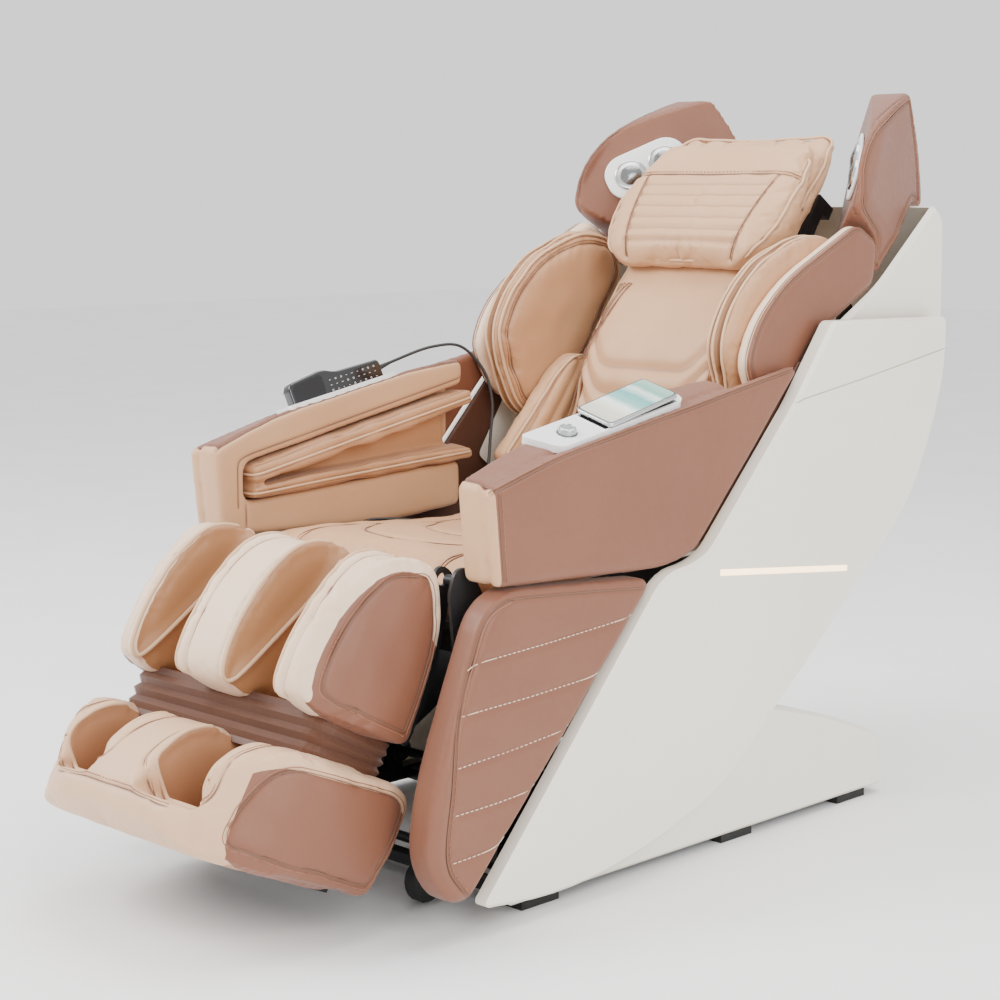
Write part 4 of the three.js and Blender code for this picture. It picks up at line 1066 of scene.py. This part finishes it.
def prism(name, points, x0, x1, matrix, material, bevel=0.0, segments=4, axis="x"):
    """A plate with rounded edges from a 2D outline in mm in a local frame: (y, z) along X, or (x, y) along Z."""
    points = [tuple(p) for p in points]
    spin = sum(a[0] * b[1] - b[0] * a[1] for a, b in zip(points, points[1:] + points[:1]))
    if spin < 0:
        points = points[::-1]
    put = (lambda p, t: (t, p[0], p[1])) if axis == "x" else (lambda p, t: (p[0], p[1], t))
    low, high = min(x0, x1), max(x0, x1)
    vertices = [put(p, low) for p in points] + [put(p, high) for p in points]
    count = len(points)
    faces = [tuple(reversed(range(count))), tuple(range(count, 2 * count))]
    faces += [(i, (i + 1) % count, count + (i + 1) % count, count + i) for i in range(count)]
    made = new_object(name, mapped(matrix, vertices), faces, material, smooth=False)
    if bevel:
        mod = made.modifiers.new("bevel", "BEVEL")
        mod.width, mod.segments, mod.limit_method = bevel * MM, segments, "ANGLE"
        mod.angle_limit = math.radians(60)
        mod.use_clamp_overlap = False
        bake(made)
    return made


def carved(obj, cutters):
    """The object with the cutters taken out of it."""
    for cutter in cutters:
        mod = obj.modifiers.new("cut", "BOOLEAN")
        mod.operation, mod.solver, mod.object = "DIFFERENCE", "EXACT", cutter
    bake(obj)
    for cutter in cutters:
        bpy.data.objects.remove(cutter)


def copied(name, node, material):
    """A welded copy of a CAD node."""
    bm = bmesh.new()
    bm.from_mesh(NODES[node].data)
    bmesh.ops.remove_doubles(bm, verts=bm.verts, dist=2e-5)
    mesh = bpy.data.meshes.new(name)
    bm.to_mesh(mesh)
    bm.free()
    for attribute in ("custom_normal", "sharp_edge", "sharp_face"):
        if attribute in mesh.attributes:
            mesh.attributes.remove(mesh.attributes[attribute])
    mesh.materials.clear()
    mesh.materials.append(material)
    made = bpy.data.objects.new(name, mesh)
    SCENE.collection.objects.link(made)
    return made


def ribbon(path, width):
    """A thin closed outline around a 2D path."""
    a = np.asarray(path, float)
    ahead = np.gradient(a, axis=0)
    ahead /= np.linalg.norm(ahead, axis=1)[:, None]
    across = np.stack([-ahead[:, 1], ahead[:, 0]], 1) * width / 2
    return np.vstack([a + across, (a - across)[::-1]]).tolist()


def settle(obj, body, slot, *nodes, limit=38):
    smoothed(obj, limit)
    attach(obj, body)
    if nodes:
        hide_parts(*nodes)
    return obj


SEAMS = ([(396, 852), (520, 846), (640, 842), (760, 843)],
         [(296, 716), (330, 727), (500, 751), (620, 770), (740, 789)])
for side, sign in SIDES:
    shell = copied(f"shell_{side}", f"side_shell_{side}", M["shell"])
    cutters = [prism("cutter", ribbon(resampled(line, 20), 2.4), sign * 366, sign * 380, WORLD, M["shell"])
               for line in SEAMS]
    carved(shell, cutters)
    # Painted shade: the shell's inward faces take the liner leather, the brown darkened as shade.
    shell.data.materials.append(M["liner"])
    for face in shell.data.polygons:
        if face.normal.x * sign < -0.7:
            face.material_index = 1
    settle(shell, "seat_unit", "shell_white", f"side_shell_{side}")

# ---- Speaker plates ---------------------------------------------------------------------------------
WING_FACE = ((318, -66), (172, 100))
along, through = WING_FACE[0][0] - WING_FACE[1][0], WING_FACE[1][1] - WING_FACE[0][1]
out = 0.4 / math.hypot(along, through)
shear = Matrix(((1, 0, -0.19, 0.19 * 0.630), (0, 1, 0, 0), (0, 0, 1, 0), (0, 0, 0, 1)))
middle = Vector((318 - 0.4 * along - out * through, -66 + 0.4 * through - out * along, 718))
lie = (Matrix.Translation(middle * MM) @ Matrix.Rotation(math.pi + math.atan2(along, through), 4, "Z")
       @ Matrix.Rotation(math.radians(-53), 4, "X"))


def lathe(name, profile, matrix, material, sides=48, axis="x", depth_at=None):
    """A turned piece from (radius, height) in mm about the local X or Z axis. depth_at gives the share of the
    radius that is cut away at a radius, height and side."""
    vertices = []
    for r, h in profile:
        for k in range(sides):
            a, left = 2 * math.pi * k / sides, r * (1 - depth_at(r, h, k)) if depth_at else r
            c, s = left * math.cos(a), left * math.sin(a)
            vertices.append((h, c, s) if axis == "x" else (c, s, h))
    return new_object(name, mapped(matrix, vertices), ring_faces(len(profile), sides), material)


def faced_out(obj):
    bm = bmesh.new()
    bm.from_mesh(obj.data)
    bmesh.ops.recalc_face_normals(bm, faces=bm.faces)
    bm.to_mesh(obj.data)
    bm.free()
    return obj


def grille(name, matrix, radius, height, material):
    """A domed perforated cap: each cell of a fine dome is sunk inside a thin rim."""
    bm = bmesh.new()
    rings = 11
    rows = [[bm.verts.new((height, 0, 0))]]
    for i in range(1, rings + 1):
        count = 6 * i
        r = radius * i / rings
        h = height * (1 - (i / rings) ** 2)
        angles = [2 * math.pi * k / count for k in range(count)]
        rows.append([bm.verts.new((h, r * math.cos(a), r * math.sin(a))) for a in angles])
    for i in range(1, rings + 1):
        inner_row, outer_row = rows[i - 1], rows[i]
        for sector in range(6):
            for k in range(i):
                a = outer_row[(sector * i + k) % len(outer_row)]
                b = outer_row[(sector * i + k + 1) % len(outer_row)]
                c = inner_row[(sector * (i - 1) + k) % len(inner_row)]
                bm.faces.new((a, b, c))
                if k < i - 1:
                    d = inner_row[(sector * (i - 1) + k + 1) % len(inner_row)]
                    bm.faces.new((b, d, c))
    bmesh.ops.recalc_face_normals(bm, faces=bm.faces)
    cells = list(bm.faces)
    bmesh.ops.inset_individual(bm, faces=cells, thickness=0.34, depth=0.0)
    bmesh.ops.inset_individual(bm, faces=cells, thickness=0.05, depth=-0.8)
    mesh = bpy.data.meshes.new(name)
    for face in cells:
        face.material_index = 1
    bm.to_mesh(mesh)
    bm.free()
    set_coords(mesh, mapped(matrix, coords(mesh)))
    made = bpy.data.objects.new(name, mesh)
    SCENE.collection.objects.link(made)
    mesh.materials.append(material)
    mesh.materials.append(M["black"])
    return faced_out(made)


SPEAKER_RING = [(25.5, 5.6), (29.5, 5.6), (29.2, 8.6), (27.5, 9.8), (25.6, 8.8)]
for side, sign in SIDES:
    mirror = Matrix.Scale(sign, 4, (1, 0, 0))
    lying = BACK @ mirror @ shear @ lie
    plate_shape = outline([(-78, -46, 40), (78, -46, 40), (78, 46, 40), (-78, 46, 40)], 10)
    plate = prism(f"speaker_plate_{side}_shell", plate_shape, 0, 6, lying, M["white"], 2.5)
    settle(faced_out(plate), "backrest", "white_plastic", f"speaker_plate_{side}")
    for i, place in enumerate((-33, 33)):
        spot = lying @ Matrix.Translation((0, place * MM, 0))
        ring = lathe(f"speaker_{side}_ring_{i}", SPEAKER_RING, spot, M["silver"])
        settle(faced_out(ring), "backrest", "knob_metal")
        cap_spot = spot @ Matrix.Translation((6.4 * MM, 0, 0))
        cap = grille(f"speaker_{side}_grille_{i}", cap_spot, 25.6, 7.4, M["silver"])
        settle(cap, "backrest", "knob_metal", limit=60)

# ---- Bellows between the calf rest and the foot section ---------------------------------------------
LOOP = resampled(outline([(-226, 44, 20), (-226, -104, 30), (226, -104, 30), (226, 44, 20)]), 12, True)
PLEATS = 9
folds = []
for row in range(PLEATS):
    share = row / (PLEATS - 1)
    for a, b in offset(LOOP, (5 if row % 2 else -3) * math.sin(math.pi * share)):
        folds.append((a, b, -250 + (-56 - (44 - b) * 0.157) * share))
faces = ring_faces(PLEATS, len(LOOP))
# Painted shade: the bellows take the liner leather, the brown darkened to stand in for the shade between calf
# rest and foot section.
bellows = faced_out(new_object("leg_bellows", mapped(LEG, folds), faces, M["liner"], smooth=False))
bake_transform(bellows)

# ---- Tray, knob, telephone and handset --------------------------------------------------------------
KNOB = [(12.5, -1.4), (15, -1.2), (15, 0.4), (13.8, 1.0), (13.8, 11.0), (13.0, 13.4), (11.6, 14.6),
        (10.4, 14.9), (10.0, 14.2), (0.3, 14.0)]
KNOB_SIDES, KNOB_RIBS = 240, 40


def knurl(r, h, k):
    """The share of the radius that the grip's grooves take away."""
    return 0.05 if 1.0 <= h <= 13.4 and r > 12 and (k * KNOB_RIBS * 2 // KNOB_SIDES) % 2 else 0


knob_place = TRAY @ Matrix.Translation((0.003, -0.098, 0))
knob = lathe("knurled_knob", KNOB, knob_place, M["silver"], KNOB_SIDES, "z", knurl)
settle(faced_out(knob), "control_knob", "knob_metal", "control_knob")

PHONE = TRAY @ Matrix.Translation((-0.002, 0.042, 0.0135)) @ Matrix.Rotation(math.radians(3), 4, "X")
slab_shape = outline([(-36.8, -78.8, 9), (36.8, -78.8, 9), (36.8, 78.8, 9), (-36.8, 78.8, 9)], 8)
phone_body = prism("phone_frame", slab_shape, -3.9, 3.5, PHONE, M["silver"], 2.4, axis="z")
settle(faced_out(phone_body), "seat_unit", "screen_glass", "phone")
glass_shape = outline([(-35, -77, 8), (35, -77, 8), (35, 77, 8), (-35, 77, 8)], 8)
phone_glass = prism("phone_glass", glass_shape, 3.3, 4.1, PHONE, M["gloss"], 0.4, 2, axis="z")
settle(faced_out(phone_glass), "seat_unit", "screen_glass")
lit_shape = outline([(-32.6, -74.5, 6), (32.6, -74.5, 6), (32.6, 74.5, 6), (-32.6, 74.5, 6)], 8)
along_phone = (PHONE.to_3x3() @ Vector((0, 1, 0))).normalized()
screen = screen_material("phone_screen", tuple(along_phone), tuple(PHONE.translation))
phone_lit = prism("phone_display", lit_shape, 4.0, 4.25, PHONE, screen, 0, axis="z")
settle(faced_out(phone_lit), "seat_unit", "screen_glass")
mat_shape = outline([(-28.4, -41.6, 6), (28.4, -41.6, 6), (28.4, 125.6, 6), (-28.4, 125.6, 6)], 4)
phone_mat = prism("phone_mat", mat_shape, 1.1, 2.4, TRAY, M["rubber"], 0.3, 2, axis="z")
settle(faced_out(phone_mat), "seat_unit", "black_plastic")

HAND = [(-103, -16.5, 6), (103, -16.5, 6), (103, 36, 9), (1, 38, 12), (-23, 48, 14), (-103, 40, 14)]
hand = prism("handset_body", outline(HAND, 8), -10, 10, CRADLE, M["gloss"], 3.4, 5)
settle(faced_out(hand), "remote_control", "black_plastic", "remote_control")
window_shape = outline([(-96, 2, 6), (-30, 2, 6), (-28, 41, 9), (-96, 35, 9)], 6)
# Painted sheen: the near-black handset display is given a faint emission.
glass = light_material("display_painted_sheen", srgb(20, 23, 28), 0.03)
window = prism("handset_display", window_shape, 9.9, 10.25, CRADLE, glass, 0)
settle(faced_out(window), "remote_control", "screen_glass")
marks = Trim("handset_marks", "remote_control", M["icon"], "white_plastic")
draw = np.random.default_rng(5)
for row in range(3):
    for column in range(9):
        y0, z0 = -14 + column * 12.6, 8 + row * 9.0
        half = 1.3 + 1.1 * draw.random()
        if draw.random() < 0.55:
            dash = [(10.1, y0 + shift, z0) for shift in (-half, 0, half)]
            marks.tube(mapped(CRADLE, dash), 0.0004, 6, step=0.0008)
        else:
            turns = np.linspace(0, 2 * math.pi, 14)[:-1]
            loop = [(10.1, y0 + 1.6 * math.cos(t), z0 + 1.6 * math.sin(t)) for t in turns]
            marks.tube(mapped(CRADLE, loop), 0.00035, 6, closed=True, step=0.0007)
marks.done()
rim = Trim("handset_rim", "remote_control", M["silver"], "knob_metal")
rim.tube(mapped(CRADLE, [(-10.0, a, b) for a, b in outline(HAND, 8) if b > -4]), 0.0011, 8, step=0.004)
rim.done()

# ---- CAD nodes that show as they are ----------------------------------------------------------------
FINISH = {"base_cover": "shell", "back_shell": "shell", "phone_tray": "white", "remote_cradle": "white",
          "base_frame": "steel", "seat_frame": "steel", "back_frame": "steel", "leg_frame": "steel",
          "tilt_roller_front": "steel", "tilt_roller_rear": "steel", "tilt_motor": "black",
          "foot_base": "black", "massage_carriage": "black", "massage_arm_left": "black",
          "massage_arm_right": "black"}
for side, _ in SIDES:
    for place in ("front", "middle", "rear"):
        FINISH[f"foot_{place}_{side}"] = "rubber"
    FINISH[f"transport_wheel_{side}"] = "rubber"
for node, kind in FINISH.items():
    dress(node, M[kind])
glow = light_material("warm_light", srgb(255, 226, 178), 4.0)
for side, _ in SIDES:
    dress(f"light_strip_{side}", glow)

# ---- Floor and light --------------------------------------------------------------------------------
floor = new_object("floor", [(-14, -14, 0), (14, -14, 0), (14, 14, 0), (-14, 14, 0)], [(0, 1, 2, 3)],
                   moulded("pale_floor", (250, 250, 250), 0.7, 0, 0.02, wear=0.0))
floor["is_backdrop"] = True
world = bpy.data.worlds.new("studio")
world.use_nodes = True
world.node_tree.nodes["Background"].inputs["Color"].default_value = (1, 1, 1, 1)
world.node_tree.nodes["Background"].inputs["Strength"].default_value = 1.3
SCENE.world = world


def softbox(name, place, target, size, power):
    lamp = bpy.data.lights.new(name, "AREA")
    lamp.shape, lamp.size, lamp.size_y, lamp.energy = "RECTANGLE", size[0], size[1], power
    obj = bpy.data.objects.new(name, lamp)
    SCENE.collection.objects.link(obj)
    obj.location = place
    obj.rotation_euler = (Vector(target) - Vector(place)).to_track_quat("-Z", "Y").to_euler()


softbox("key", (-2.2, -3.0, 3.4), (0, 0, 0.5), (2.4, 2.4), 240)
softbox("side", (3.4, -1.2, 2.0), (0, 0, 0.6), (2.2, 2.2), 100)
softbox("top", (0.3, 0.6, 3.8), (0, 0, 0.5), (2.5, 2.5), 90)

low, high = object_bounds()
